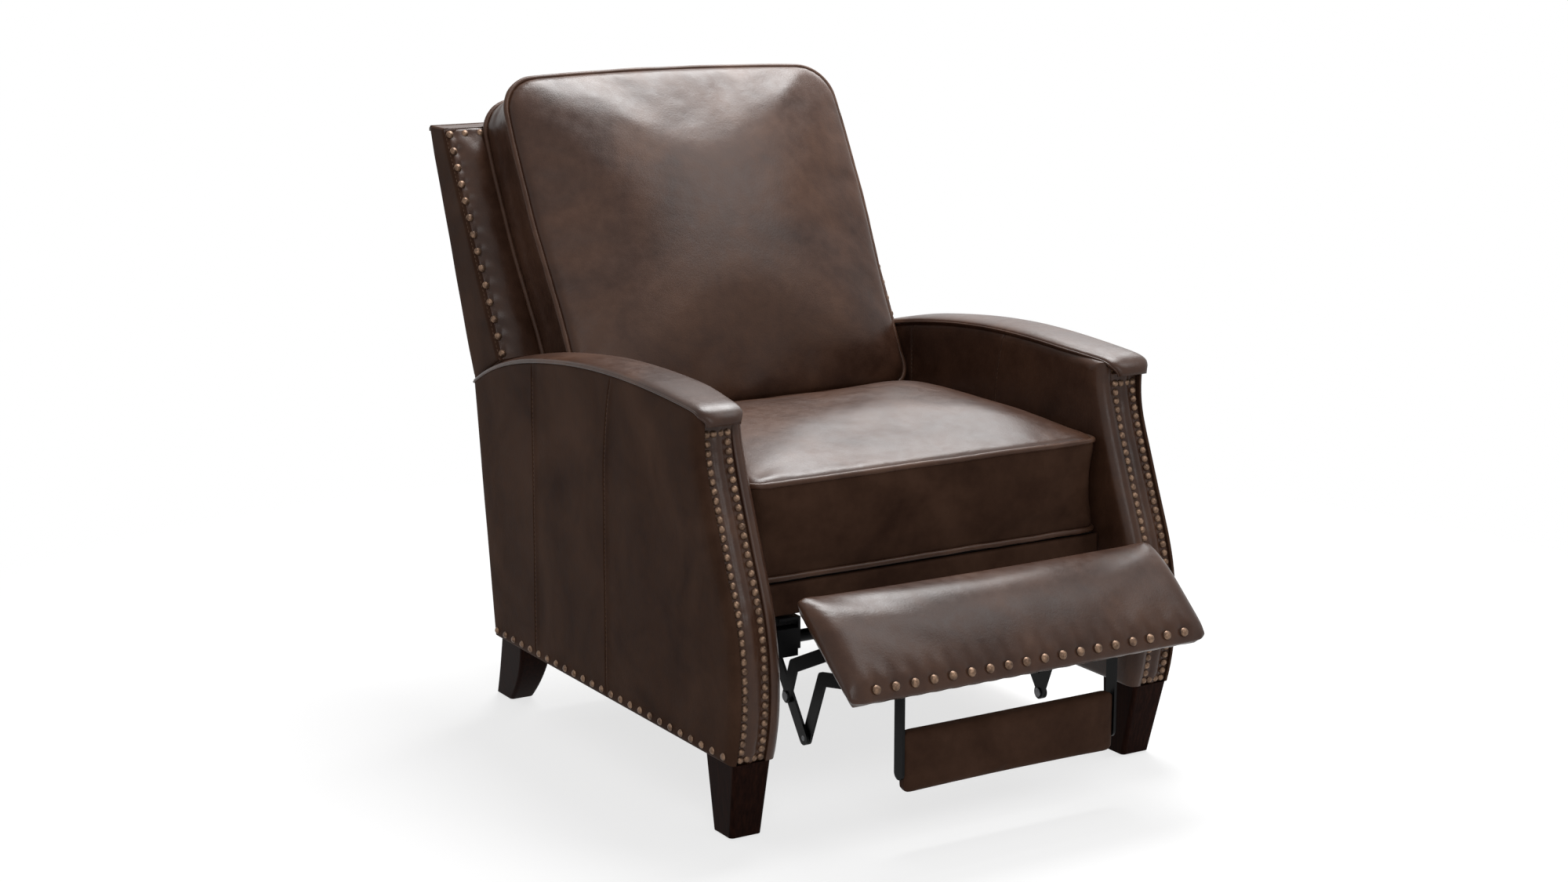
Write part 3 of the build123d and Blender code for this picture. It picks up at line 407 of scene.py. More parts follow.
# Outlines are read from the solids a little inside their ends, where every cut meets them
read_inset = 0.5
read_count = 160
arm_heights = np.linspace(arm_foot + read_inset, arm_front_height - read_inset, read_count)
arm_front_places = far_line(arm_node, 2, 1, -1, arm_heights)
arm_lengths = np.linspace(arm_front_top_y + read_inset, arm_rear_y - read_inset, read_count)
arm_tops = far_line(arm_node, 1, 2, 1, arm_lengths) + welt_above_skin
rear_seam_y = 181.0
rear_seam_lean = 5.0
front_seam_y = -44.0
front_seam_turn = 27.0


def arm_side(face_x, core_x, puff, front_roll, top_roll, front_reach, folds, seed):
    """Leather side of an arm: three sewn widths inside the arm's outline, rolled at the edges."""
    widths = (300.0, 225.0, 190.0)
    width_step = 13.0
    height = 470.0
    height_step = 11.0
    lip = (500.0, 584.0)
    rear_roll = (12.0, 9.0)
    foot_roll = (8.0, 7.0)
    broad_swell = 190.0
    small_swell = 60.0
    small_share = 0.35
    ridge_height = 1.1
    ridge_place = 5.5
    ridge_width = 4.0
    groove_depth = 2.6
    groove_width = 1.5
    pull_height = 0.18
    pull_pitch = 9.0
    pull_reach = 9.0
    fold_places = (11.0, 23.0)
    fold_width = 3.5
    calm_edge = 20.0
    columns = [np.array([0.0])]
    for zone, width in enumerate(widths):
        columns.append(zone + spread(width, width_step)[1:])
    columns = np.concatenate(columns)
    ups = spread(height, height_step)
    across, up = np.meshgrid(columns, ups)
    seams = [rear_seam_y + rear_seam_lean * (1 - up), front_seam_y - front_seam_turn * up ** 7]
    y = np.zeros_like(up)
    for _ in range(6):
        z = arm_foot + up * (np.interp(y, arm_lengths, arm_tops) - arm_foot)
        front = np.interp(z, arm_heights, arm_front_places) - front_reach * smooth_step(z, *lip)
        rear = arm_rear_foot_y + (z - arm_foot) * arm_rear_lean
        lines = [front, seams[1], seams[0], rear]
        zone = np.clip(across.astype(int), 0, 2)
        share = across - zone
        low = np.choose(zone, lines[:3])
        high = np.choose(zone, lines[1:])
        y = low + share * (high - low)
    top = np.interp(y, arm_lengths, arm_tops)
    drop = np.maximum.reduce([
        roll(y - front, *front_roll),
        roll(rear - y, *rear_roll),
        roll(top - z, *top_roll),
        roll(z - arm_foot, *foot_roll),
    ])
    points = np.stack([np.zeros_like(y), y, z], axis=-1)
    relief = puff * waves(points, broad_swell, seed)
    relief += small_share * puff * waves(points, small_swell, seed + 1)
    for seam in seams:
        off = y - seam
        ridge = ridge_height * np.exp(-((off + ridge_place) / ridge_width) ** 2)
        groove = groove_depth * np.exp(-(off / groove_width) ** 2)
        pull = np.cos(2 * math.pi * z / pull_pitch) * np.exp(-np.abs(off) / pull_reach)
        relief += ridge - groove + pull_height * pull
    for fold in fold_places:
        relief += folds * np.exp(-((y - front - fold) / fold_width) ** 2)
    out = np.sign(face_x - core_x)
    edge = np.clip(np.minimum.reduce([y - front, rear - y, top - z, z - arm_foot]) / calm_edge, 0, 1)
    depth = np.maximum(abs(face_x - core_x) - drop + relief * edge, 1.0)
    points[..., 0] = core_x + out * depth
    back = points.copy()
    back[..., 0] = core_x
    beside = [int(np.argmin(np.abs(columns - line))) - 3 for line in (1, 2)]
    return shell(points, back), [points[:, column] for column in beside]


hands = {"left": 1, "right": -1}
arm_outer_x = 380.0
arm_inner_x = 300.0
core_outer_x = 368.0
core_inner_x = 322.0
for hand, side in hands.items():
    mirror = np.array([side, 1, 1])
    outside = arm_side(arm_outer_x, core_outer_x, puff=0.7, front_roll=(22.0, 11.0), top_roll=(7.0, 4.5),
                       front_reach=5.0, folds=0.0, seed=11 + side)
    inside = arm_side(arm_inner_x, core_inner_x, puff=0.8, front_roll=(26.0, 16.0), top_roll=(16.0, 13.0),
                      front_reach=-5.0, folds=2.4, seed=21 + side)
    for place, node, finish, cover in (("outside", "_arm_outer_panel", side_leather, outside),
                                       ("inside", "_arm_inner_panel", leather, inside)):
        (points, faces), seam_lines = cover
        make(hand + "_arm_" + place, [(points * mirror, faces)], finish, "base_frame",
             [hand + node])
        parts = [part for line in seam_lines for part in stitches(line * mirror)]
        make(hand + "_arm_" + place + "_stitching", parts, thread, "base_frame")


# Arm tops. A crowned leather band over foam runs along each arm and rolls over its front, joined to the
# sides by a thin folded welt of the same leather.

def left_of(line):
    """Direction at right angles to a line of (y, z) points, to the left of its way."""
    heading = np.gradient(line, axis=0)
    heading /= np.linalg.norm(heading, axis=1)[:, None]
    return np.stack([-heading[:, 1], heading[:, 0]], axis=1)


pad_node = "left_arm_top_pad"
pad_crown = 6.0
pad_rise = 9.0
lip_turn_y = -333.0
lip_bottom = 570.5
pad_lengths = np.linspace(arm_rear_y - read_inset, lip_turn_y, 150)
pad_tops = far_line(pad_node, 1, 2, 1, pad_lengths)
lip_heights = np.linspace(pad_tops[-1] - 1.0, lip_bottom, 8)
lip_fronts = far_line(pad_node, 2, 1, -1, lip_heights)
crest = np.concatenate([
    np.stack([pad_lengths, pad_tops], axis=1),
    np.stack([lip_fronts, lip_heights], axis=1),
])
crest = even(crest, 6.0)
outward = -left_of(crest)
pad_seam = crest - outward * pad_crown
arm_middle_x = (arm_outer_x + arm_inner_x) / 2
bend = np.linspace(0, math.pi, 25)
pad_fullness = 0.72
pad_across = -np.sign(np.cos(bend)) * np.abs(np.cos(bend)) ** pad_fullness
pad_up = np.abs(np.sin(bend)) ** pad_fullness
pad_wave = 0.5
pad_wave_size = 120.0
pad_base_depth = 6.0
pad_base_inset = 3.0
arm_welt = 1.9
arm_welt_inset = 0.7
pad_clearance = 0.5
pad_inner_taper = 11.0
taper_places = (200.0, 325.0)
lip_outer_taper = 10.0
lip_inner_taper = 9.0
lip_height = 590.0
lip_tilt = 0.8
lip_places = (316.0, 356.0)
# Shares of the way round the lip, and inner and outer edges that close in on the nail strip
lip_run = smooth_step(-crest[:, 0] - lip_tilt * (crest[:, 1] - lip_height), *lip_places)
pad_outer = arm_outer_x - pad_clearance - lip_outer_taper * lip_run
pad_inner = arm_inner_x + pad_clearance + pad_inner_taper * smooth_step(-crest[:, 0], *taper_places)
pad_inner += lip_inner_taper * lip_run
pad_half = ((pad_outer - pad_inner) / 2)[:, None]
pad_middle = ((pad_outer + pad_inner) / 2)[:, None]
for hand, side in hands.items():
    mirror = np.array([side, 1, 1])
    face = np.zeros((len(crest), len(bend), 3))
    face[..., 0] = pad_middle + pad_half * pad_across
    rise = pad_rise * pad_up[None, :]
    face[..., 1:] = pad_seam[:, None] + outward[:, None] * rise[..., None]
    swell = pad_wave * waves(face, pad_wave_size, 31 + side) * pad_up
    face[..., 1:] += outward[:, None] * swell[..., None]
    under = face.copy()
    under[..., 1:] = pad_seam[:, None] - outward[:, None] * pad_base_depth
    under[..., 0] = pad_middle + (pad_half - pad_base_inset) * pad_across
    parts = [shell(face, under)]
    for edge in (pad_outer - arm_welt_inset, pad_inner + arm_welt_inset):
        parts.append(tube(np.column_stack([edge, pad_seam]), arm_welt, False))
    parts = [(points * mirror, faces) for points, faces in parts]
    make(hand + "_arm_top", parts, leather, "base_frame", [hand + "_arm_top_pad"])


# Nail strips and rear strips. A leather strip set back between the two sides of each arm is tacked down by
# close-nailed heads, and another closes the rear of the arm.

def nail_places(node):
    """Middle of each nail head of a CAD node, in mm."""
    form = bmesh.new()
    form.from_mesh(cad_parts[node].data)
    bmesh.ops.remove_doubles(form, verts=form.verts, dist=1e-6)
    left = dict.fromkeys(form.verts)
    middles = []
    while left:
        group = [left.popitem()[0]]
        for vertex in group:
            for edge in vertex.link_edges:
                other = edge.other_vert(vertex)
                if other in left:
                    del left[other]
                    group.append(other)
        middles.append(sum((vertex.co for vertex in group), Vector()) / len(group) / mm)
    form.free()
    return np.array(middles)


def nail_dimples(points, nails, depth, radius):
    """How deep nail heads draw in a grid of points, in mm."""
    far = np.linalg.norm(points[:, :, None] - nails[None, None], axis=-1).min(axis=-1)
    return depth * np.exp(-(far / radius) ** 2)


def box(node):
    """Lowest and highest corners of a CAD piece at rest, in mm."""
    return [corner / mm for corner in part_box(node)]


def oblong(first_x, second_x, low, high):
    """Corners of a panel from one x to another, between a low and a high edge given as (y, z)."""
    return [(first_x, *low), (second_x, *low), (second_x, *high), (first_x, *high)]


def panel(corners, thickness, edge, puff, seed, step=12.0):
    """Padded leather panel between four corners in mm, its face to the left of the first edge."""
    edge_share = 0.85
    wave_size = 150.0
    calm_edge = 40.0
    corners = np.array(corners, float)
    wide = np.linalg.norm(corners[1] - corners[0])
    tall = np.linalg.norm(corners[3] - corners[0])
    fine = [place for place in (0.0, 0.8, 1.8, 3.2, 5.0, 7.5) if place < min(wide, tall) / 3]
    across, up = np.meshgrid(spread(wide, step, fine), spread(tall, step, fine))
    weights = [(1 - across) * (1 - up), across * (1 - up), across * up, (1 - across) * up]
    back = sum(weight[..., None] * corner for weight, corner in zip(weights, corners))
    normal = np.cross(corners[1] - corners[0], corners[3] - corners[0])
    normal /= np.linalg.norm(normal)
    inside = np.minimum.reduce([across * wide, (1 - across) * wide, up * tall, (1 - up) * tall])
    height = thickness - roll(inside, edge, min(edge, thickness) * edge_share)
    height += puff * (0.6 + 0.4 * waves(back, wave_size, seed)) * np.clip(inside / calm_edge, 0, 1)
    return shell(back + height[..., None] * normal, back)


strip_node = "left_arm_nail_strip"
strip_top = 571.0
strip_heights = np.linspace(arm_foot + read_inset, strip_top, 150)
strip_fronts = far_line(strip_node, 2, 1, -1, strip_heights)
strip_line = even(np.stack([strip_fronts, strip_heights], axis=1), 2.4)
outward = left_of(strip_line)
strip_nails = nail_places("arm_front_nails")
strip_across = np.linspace(core_inner_x, core_outer_x, 27)
strip_thickness = 5.5
strip_fold_offset = 5.0
strip_fold_half = 8.5
strip_fold_height = 3.0
strip_dimple = 1.3
strip_dimple_radius = 7.5
strip_wave = 0.3
strip_wave_size = 22.0
for hand, side in hands.items():
    mirror = np.array([side, 1, 1])
    face = np.zeros((len(strip_line), len(strip_across), 3))
    face[..., 0] = strip_across
    face[..., 1:] = strip_line[:, None]
    nails = strip_nails[strip_nails[:, 0] * side > 0] * mirror
    middle = 1 - ((strip_across - arm_middle_x - strip_fold_offset) / strip_fold_half) ** 2
    raised = strip_fold_height * np.clip(middle, 0, 1)
    raised = raised - nail_dimples(face, nails, strip_dimple, strip_dimple_radius)
    raised += strip_wave * waves(face, strip_wave_size, 41 + side)
    face[..., 1:] += outward[:, None] * raised[..., None]
    back = face.copy()
    back[..., 1:] = strip_line[:, None] - outward[:, None] * strip_thickness
    points, faces = shell(face, back)
    make(hand + "_nail_strip", [(points * mirror, faces)], leather, "base_frame",
         [hand + "_arm_nail_strip"])

rear_strip_top = 508.0
rear_strip_thickness = 8.0
parts = []
for side in hands.values():
    low_y = arm_rear_foot_y - rear_strip_thickness
    high_y = low_y + (rear_strip_top - arm_foot) * arm_rear_lean
    inner, outer = side * core_inner_x, side * core_outer_x
    corners = oblong(max(inner, outer), min(inner, outer), (low_y, arm_foot), (high_y, rear_strip_top))
    parts.append(panel(corners, rear_strip_thickness, edge=3.0, puff=1.0, seed=51 + side))
make("arm_rear_leather", parts, side_leather, "base_frame", ["arm_rear_strips"])

cover_low, cover_high = box("rear_rail_cover")
corners = oblong(cover_high.x, cover_low.x, (cover_low.y, cover_low.z), (cover_low.y, cover_high.z))
parts = [panel(corners, thickness=3.0, edge=2.5, puff=0.4, seed=61)]
make("rear_rail_leather", parts, side_leather, "base_frame", ["rear_rail_cover"])


# Nail heads. Domed steel heads with an antique bronze finish are hammered in close rows round the leather
# edges of the arms, the wings and the footrest.

# Antique bronze plate: warm brown, mottled lighter where it is rubbed, with a satin shine.
patina_size = 0.006
bronze = mottled_finish("antique_bronze_plate", [patina_size] * 3, {"Detail": 3.0},
                        [(0.3, "#4a382c"), (0.5, "#6b5443"), (0.72, "#8c715c")],
                        {"Metallic": 0.7}, shine=(0.38, 0.52))
wear(bronze, "arm_front_nails", "arm_base_nails", "wing_nails", "footrest_nails")


# Seat deck. Five sinuous springs of hard-drawn wire run from front to rear across the seat frame, under a
# stretched deck cloth, with a leather cover on the front rail.

# Spring wire: drawn steel, oil-blacked, with a dull shine.
mill_size = 0.01
spring_wire = mottled_finish("drawn_spring_wire", [mill_size] * 3, {"Detail": 3.0},
                             [(0.3, "#2b2b2d"), (0.7, "#4a4a4c")], {"Metallic": 1.0, "Roughness": 0.42})
wear(spring_wire, "seat_springs")

# Deck cloth and webbing: plain woven black cotton and jute, drawn with coarser threads so that they show.
deck_cloth, tree, place = finish_tree("woven_deck_cloth")
thread_step = 0.003
weave = add(tree, "ShaderNodeTexBrick", {"Scale": 1 / thread_step, "Color1": linear("#1d1b1a"),
                                         "Color2": linear("#262321"), "Mortar": linear("#100f0e"),
                                         "Mortar Size": 0.08}, {"Vector": place})
nap = add(tree, "ShaderNodeBump", {"Strength": 0.3, "Distance": 0.0004}, {"Height": weave.outputs["Fac"]})
shader = add(tree, "ShaderNodeBsdfPrincipled", {"Roughness": 0.9, "Sheen Weight": 0.15},
             {"Base Color": weave.outputs[0], "Normal": nap.outputs[0]})
add(tree, "ShaderNodeOutputMaterial", None, {"Surface": shader.outputs[0]})
wear(deck_cloth, "back_webbing")

deck_low, deck_high = box("seat_deck")
corners = oblong(deck_low.x, deck_high.x, (deck_low.y, deck_low.z), (deck_high.y, deck_low.z))
deck_thickness = deck_high.z - deck_low.z
parts = [panel(corners, deck_thickness, edge=1.5, puff=0.0, seed=71, step=20.0)]
deck = make("seat_deck_cloth", parts, deck_cloth, "seat", ["seat_deck"])

rail_low, rail_high = box("seat_front_rail")
corners = oblong(rail_low.x, rail_high.x, (rail_high.y, rail_low.z), (rail_high.y, rail_high.z))
parts = [panel(corners, rail_high.y - rail_low.y, edge=5.0, puff=0.8, seed=81)]
make("seat_rail_leather", parts, side_leather, "seat", ["seat_front_rail"])


# Seat cushion. A boxed cushion of foam wrapped in fibre, its cover sewn from a top, a bottom and a boxing
# band, with a piped welt of the same leather in both seams.

def coordinates(mesh):
    """Points of a mesh in metres."""
    points = np.empty(len(mesh.vertices) * 3)
    mesh.vertices.foreach_get("co", points)
    return points.reshape(-1, 3)


def normals(mesh):
    """Outward directions at the points of a mesh."""
    directions = np.empty(len(mesh.vertices) * 3)
    mesh.vertex_normals.foreach_get("vector", directions)
    return directions.reshape(-1, 3)


def set_points(mesh, points):
    """Move the points of a mesh to places in mm."""
    mesh.vertices.foreach_set("co", (points * mm).ravel())
    mesh.update()


def settled(piece):
    """Apply the modifiers of a piece, and give its new mesh."""
    mesh = bpy.data.meshes.new_from_object(piece.evaluated_get(bpy.context.evaluated_depsgraph_get()))
    piece.modifiers.clear()
    piece.data = mesh
    return mesh


def nearest(points, held):
    """Distance from each point to the nearest held point, in the same unit."""
    tree = kdtree.KDTree(len(held))
    for index, point in enumerate(held):
        tree.insert(point, index)
    tree.balance()
    return np.array([tree.find(point)[2] for point in points])


def calmed(mesh, points, share, rounds):
    """Points drawn towards the middle of their neighbours, each by its own share, a number of rounds."""
    ends = np.empty(len(mesh.edges) * 2, dtype=int)
    mesh.edges.foreach_get("vertices", ends)
    first, second = ends[0::2], ends[1::2]
    size = len(points)
    count = np.bincount(ends, minlength=size)[:, None]
    for _ in range(rounds):
        total = np.stack([np.bincount(first, points[second, axis], size)
                          + np.bincount(second, points[first, axis], size) for axis in range(3)], axis=1)
        points = points + 0.5 * share[:, None] * (total / count - points)
    return points


def stuffed(name, nodes, body, rest, held, hold, voxel, grow, cap, easing=4, calm=(0, 0), bow=None,
            swell=None, relief=None, finish=leather, sides=None):
    """Filled cover: an even copy of CAD solids, eased in, then blown up between the places that hold it.

    It rests on its side towards rest. Lengths are in mm, apart from grow, a share that the leather stretches.
    """
    scene = bpy.context.scene
    loose_reach = 40.0
    lift_reach = (4.0, 44.0)
    slack = 3.0
    frames = 20
    form = bmesh.new()
    for node in nodes:
        form.from_mesh(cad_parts[node].data)
    mesh = bpy.data.meshes.new(name)
    form.to_mesh(mesh)
    form.free()
    piece = bpy.data.objects.new(name, mesh)
    scene.collection.objects.link(piece)
    remesh = piece.modifiers.new("even", "REMESH")
    remesh.mode = "VOXEL"
    remesh.voxel_size = voxel * mm
    ease = piece.modifiers.new("ease", "SMOOTH")
    ease.factor = 0.5
    ease.iterations = easing
    mesh = settled(piece)
    form = coordinates(mesh) / mm
    outward = normals(mesh)
    away = nearest(form, held)
    resting = smooth_step(outward @ np.array(rest), 0.35, 0.75)
    loose = smooth_step(away, hold, hold + loose_reach) * (1 - resting)
    facing = smooth_step(-(outward @ np.array(rest)), 0.1, 0.5)
    lift = swell(form) * facing * smooth_step(away, *lift_reach) if swell else np.zeros(len(form))
    if bow:
        form = bow(form)
    form = form - np.outer(lift, rest)
    form = calmed(mesh, form, loose * facing, calm[0])
    start = form - outward * (loose * facing * slack)[:, None]
    set_points(mesh, start)
    sewn = piece.vertex_groups.new(name="sewn")
    for index in np.nonzero((away < hold) | (resting > 0.9))[0]:
        sewn.add([int(index)], 1.0, "REPLACE")
    cloth = piece.modifiers.new("filling", "CLOTH")
    cloth.settings.vertex_group_mass = "sewn"
    cloth.settings.use_pressure = True
    cloth.settings.uniform_pressure_force = 4.0
    cloth.settings.shrink_min = -grow
    cloth.settings.effector_weights.gravity = 0.0
    cloth.settings.bending_stiffness = 60.0
    cloth.settings.quality = 4
    cloth.collision_settings.use_collision = False
    cloth.point_cache.frame_start = 1
    cloth.point_cache.frame_end = frames
    for step in range(1, frames + 1):
        scene.frame_set(step)
    filled = piece.evaluated_get(bpy.context.evaluated_depsgraph_get())
    move = coordinates(filled.data) / mm - start
    piece.modifiers.clear()
    scene.frame_set(1)
    length = np.linalg.norm(move, axis=1)
    limit = cap * (1 - resting) + 1e-6
    form = start + move * (limit * np.tanh(length / limit) / (length + 1e-6))[:, None]
    form = calmed(mesh, form, loose * facing, calm[1])
    set_points(mesh, form)
    finer = piece.modifiers.new("finer", "SUBSURF")
    finer.levels = finer.render_levels = 1
    mesh = settled(piece)
    if relief:
        form = coordinates(mesh) / mm
        set_points(mesh, form + normals(mesh) * relief(form)[:, None])
    mesh.name = name
    mesh.shade_smooth()
    mesh.materials.clear()
    mesh.materials.append(finish)
    if sides:
        mesh.materials.append(sides)
        facing = np.empty(len(mesh.polygons) * 3)
        mesh.polygons.foreach_get("normal", facing)
        band = np.abs(facing.reshape(-1, 3) @ np.array(rest)) < 0.5
        mesh.polygons.foreach_set("material_index", band.astype(np.int32))
    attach(piece, body)
    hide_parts(*nodes)
    return piece


def rounded_loop(half_width, half_length, corner, step):
    """Closed rectangle with round corners, in mm, with points at an even step."""
    points = []
    for x_sign, y_sign, start in ((1, 1, 0), (-1, 1, 90), (-1, -1, 180), (1, -1, 270)):
        for turn in np.radians(np.linspace(start, start + 90, 13)):
            points.append((x_sign * (half_width - corner) + corner * math.cos(turn),
                           y_sign * (half_length - corner) + corner * math.sin(turn)))
    return stepped(np.array(points + points[:1]), step, closed=True)


def piping(name, path, node, body, seed):
    """Piped welt round a cushion: a cord in a folded strip, with the slight ripple of its stitching."""
    cord_radius = 4.2
    ripple = 0.22
    ripple_size = 26.0
    sway = np.array([0.3, 0.3, 1.0])
    sway_size = 70.0
    path = path + 0.5 * waves(path, sway_size, seed)[:, None] * sway
    radius = cord_radius + ripple * waves(path, ripple_size, seed + 1)
    # The cord's lighter leather is partly real rubbing and partly a painted highlight.
    make(name, [tube(path, radius, True, 12)], wear_and_highlight_leather, body, [node])


welt_radius = 4.5
seat_corner = 20.0
seam_step = 5.0
seat_seams = {}
for seam in ("top", "bottom"):
    low, high = box("seat_" + seam + "_welt")
    middle = (low + high) / 2
    half_width = (high.x - low.x) / 2 - welt_radius
    half_length = (high.y - low.y) / 2 - welt_radius
    loop = rounded_loop(half_width, half_length, seat_corner, seam_step)
    seat_seams[seam] = np.column_stack([loop[:, 0], middle.y + loop[:, 1], np.full(len(loop), middle.z)])
seat_low, seat_high = box("seat_cushion")
seat_middle = (seat_low + seat_high) / 2
seat_half = (seat_high - seat_low) / 2
seat_crown = 39.5


def seat_swell(points):
    """How far the seat's top stands above the CAD crown: full to its sides, rounder to front and rear."""
    across = np.clip(np.abs(points[:, 0]) / (seat_half.x - welt_radius), 0, 1)
    along = np.clip(np.abs(points[:, 1] - seat_middle.y) / (seat_half.y - welt_radius), 0, 1)
    crown = seat_crown * np.sqrt(1 - across ** 7) * (1 - along ** 4)
    return crown - (points[:, 2] - seat_seams["top"][0, 2])


stuffed("seat_cushion_filled", ["seat_cushion"], "seat", rest=(0, 0, -1), hold=10.0, voxel=6.0,
        held=np.concatenate(list(seat_seams.values())), grow=0.001, cap=24.0, calm=(20, 10), swell=seat_swell,
        sides=side_leather)
for seam, seed in (("top", 91), ("bottom", 93)):
    piping("seat_" + seam + "_piping", seat_seams[seam], "seat_" + seam + "_welt", "seat", seed)


# Back cover. Leather over foam on the back frame: a front deck with the two wing faces, wing sides that turn
# round the corners to a sewn seam beside the nails, a top band and a plain rear panel.

front_lean = math.radians(28.5)
rear_lean = math.radians(21.0)
wing_half_width = 366.0
wing_front_low = (325.57, 556.0)
wing_rear_low = (420.16, 510.0)
back_top = 895.0
deck_half_width = 290.0
deck_low_z = 428.0
rear_low_z = 300.0
back_leather = 8.0
back_out = np.array([0.0, -math.cos(front_lean), math.sin(front_lean)])
seam_x = 361.0
wing_inner_x = 286.0
corner_round = 9.5


def front_y(z):
    """Y of the back's front plane at a height."""
    return wing_front_low[0] + (z - wing_front_low[1]) * math.tan(front_lean)


def rear_y(z):
    """Y of the back's rear plane at a height."""
    return wing_rear_low[0] + (z - wing_rear_low[1]) * math.tan(rear_lean)


wing_nails = nail_places("wing_nails")
wing_heights = np.linspace(wing_front_low[1], back_top, 120)
wing_nail_inset = 9.0
wing_nail_steps = 13
wing_nail_pitch = (back_top - wing_front_low[1] - 2 * wing_nail_inset) / wing_nail_steps
seam_tuck = 1.0
seam_sway = 0.7
wing_soft_x = 320.0
wing_soft_half = 29.0
wing_puff = 6.0
wing_end_reach = 40.0
wing_pull = 0.8
wing_pull_x = 349.0
wing_pull_width = 9.0
wing_dimple = 1.4
wing_dimple_radius = 8.5
wing_wave = 0.7
wing_wave_size = 45.0
face_top_roll = (6.0, 4.0)
face_seam_roll = (2.5, 2.0)


def seam_wave(heights):
    """Sway of a wing's seam between its nails, from -1 to 1."""
    return np.cos(2 * math.pi * (heights - wing_front_low[1] - wing_nail_inset) / wing_nail_pitch)


corners = oblong(-deck_half_width, deck_half_width, (front_y(deck_low_z), deck_low_z),
                 (front_y(back_top), back_top))
corners = [np.array(corner) - back_out * back_leather for corner in corners]
parts = [panel(corners, back_leather, edge=4.0, puff=0.0, seed=101, step=24.0)]
for side in hands.values():
    mirror = np.array([side, 1, 1])
    shares = np.linspace(0, 1, 40)[None, :]
    wave = seam_wave(wing_heights)[:, None]
    edge_x = seam_x - seam_tuck + seam_sway * wave
    face = np.zeros((len(wing_heights), shares.shape[1], 3))
    face[..., 0] = wing_inner_x + shares * (edge_x - wing_inner_x)
    face[..., 1] = front_y(wing_heights)[:, None]
    face[..., 2] = wing_heights[:, None]
    nails = wing_nails[wing_nails[:, 0] * side > 0] * mirror
    soft = np.clip(1 - ((face[..., 0] - wing_soft_x) / wing_soft_half) ** 2, 0, 1)
    off_ends = np.minimum(wing_heights - wing_front_low[1], back_top - wing_heights)
    ends = smooth_step(off_ends, 0.0, wing_end_reach)[:, None]
    pull = -wave * np.exp(-((face[..., 0] - wing_pull_x) / wing_pull_width) ** 2)
    raised = wing_puff * soft * (0.5 + 0.5 * ends) + wing_pull * pull
    raised -= nail_dimples(face, nails, wing_dimple, wing_dimple_radius)
    raised += wing_wave * waves(face, wing_wave_size, 103 + side) * soft
    raised -= roll(back_top - face[..., 2], *face_top_roll)
    raised -= roll(edge_x - face[..., 0], *face_seam_roll)
    back = face - back_out * back_leather
    face = face + raised[..., None] * back_out
    points, faces = shell(face, back)
    parts.append((points * mirror, faces))
make("back_front_leather", parts, leather, "backrest", ["back_deck"])

wing_height = 360.0
wing_step = 8.0
wing_foot_roll = (8.0, 6.0)
wing_top_roll = (6.0, 5.0)
wing_calm_edge = 40.0
wing_swell_size = 130.0
wing_foot_inset = 3.0
corner_turn = 62.0
for hand, side in hands.items():
    mirror = np.array([side, 1, 1])
    ups = spread(wing_height, wing_step)
    turn = np.radians(np.linspace(-corner_turn, 0, 9))
    rows = []
    for up in ups:
        z_front = wing_front_low[1] + up * (back_top - wing_front_low[1])
        z_rear = wing_rear_low[1] + up * (back_top - wing_rear_low[1])
        front = np.array([front_y(z_front), z_front])
        rear = np.array([rear_y(z_rear), z_rear])
        depth = np.linalg.norm(rear - front)
        along = (rear - front) / depth
        near = [(wing_half_width - corner_round + corner_round * math.cos(angle),
                 corner_round + corner_round * math.sin(angle)) for angle in turn]
        near[0] = (seam_x + seam_sway * seam_wave(z_front), near[0][1])
        flat = [(wing_half_width, corner_round + share * (depth - 2 * corner_round))
                for share in np.linspace(0, 1, 9)[1:-1]]
        away = [(x, depth - back) for x, back in reversed(near)]
        away[-1] = (seam_x, away[-1][1])
        rows.append([(x, *(front + along * back)) for x, back in near + flat + away])
    face = np.array(rows)
    upright = (ups * wing_height)[:, None]
    rim = np.maximum(roll(upright, *wing_foot_roll), roll(wing_height - upright, *wing_top_roll))
    calm = np.clip(np.minimum(upright, wing_height - upright) / wing_calm_edge, 0, 1)
    swell = (0.8 + 0.6 * waves(face, wing_swell_size, 111 + side)) * calm
    face[..., 0] += (swell - rim) * (face[..., 0] > wing_half_width - 2.0)
    back = face.copy()
    back[..., 0] = np.minimum(back[..., 0] - 1.0, wing_half_width - back_leather)
    under = [(deck_half_width, *wing_front_low), (deck_half_width, *wing_rear_low),
             (wing_half_width - wing_foot_inset, *wing_rear_low),
             (wing_half_width - wing_foot_inset, *wing_front_low)]
    parts = [shell(face, back), panel(under, thickness=2.5, edge=2.0, puff=0.0, seed=115)]
    parts = [(points * mirror, faces) for points, faces in parts]
    make(hand + "_wing_side", parts, side_leather, "backrest", [hand + "_wing_panel"])
    make(hand + "_wing_stitching", stitches(face[:, 2] * mirror), thread, "backrest")

top_overlap = 2.0
top_half_width = wing_half_width - 2.0
top_welt = 1.8
top_welt_inset = 2.5
top_welt_sink = 1.0
top_welt_half = wing_half_width - 4.0
top_front = front_y(back_top) - top_overlap
top_rear = rear_y(back_top)
top_base = back_top - back_leather
corners = oblong(-top_half_width, top_half_width, (top_front, top_base), (top_rear, top_base))
parts = [panel(corners, back_leather, edge=4.0, puff=1.2, seed=121)]
for y in (top_front + top_welt_inset, top_rear - top_welt_inset):
    line = [(x, y, back_top - top_welt_sink) for x in np.linspace(-top_welt_half, top_welt_half, 120)]
    parts.append(tube(line, top_welt, False))
make("back_top_leather", parts, leather, "backrest", ["back_top_panel"])

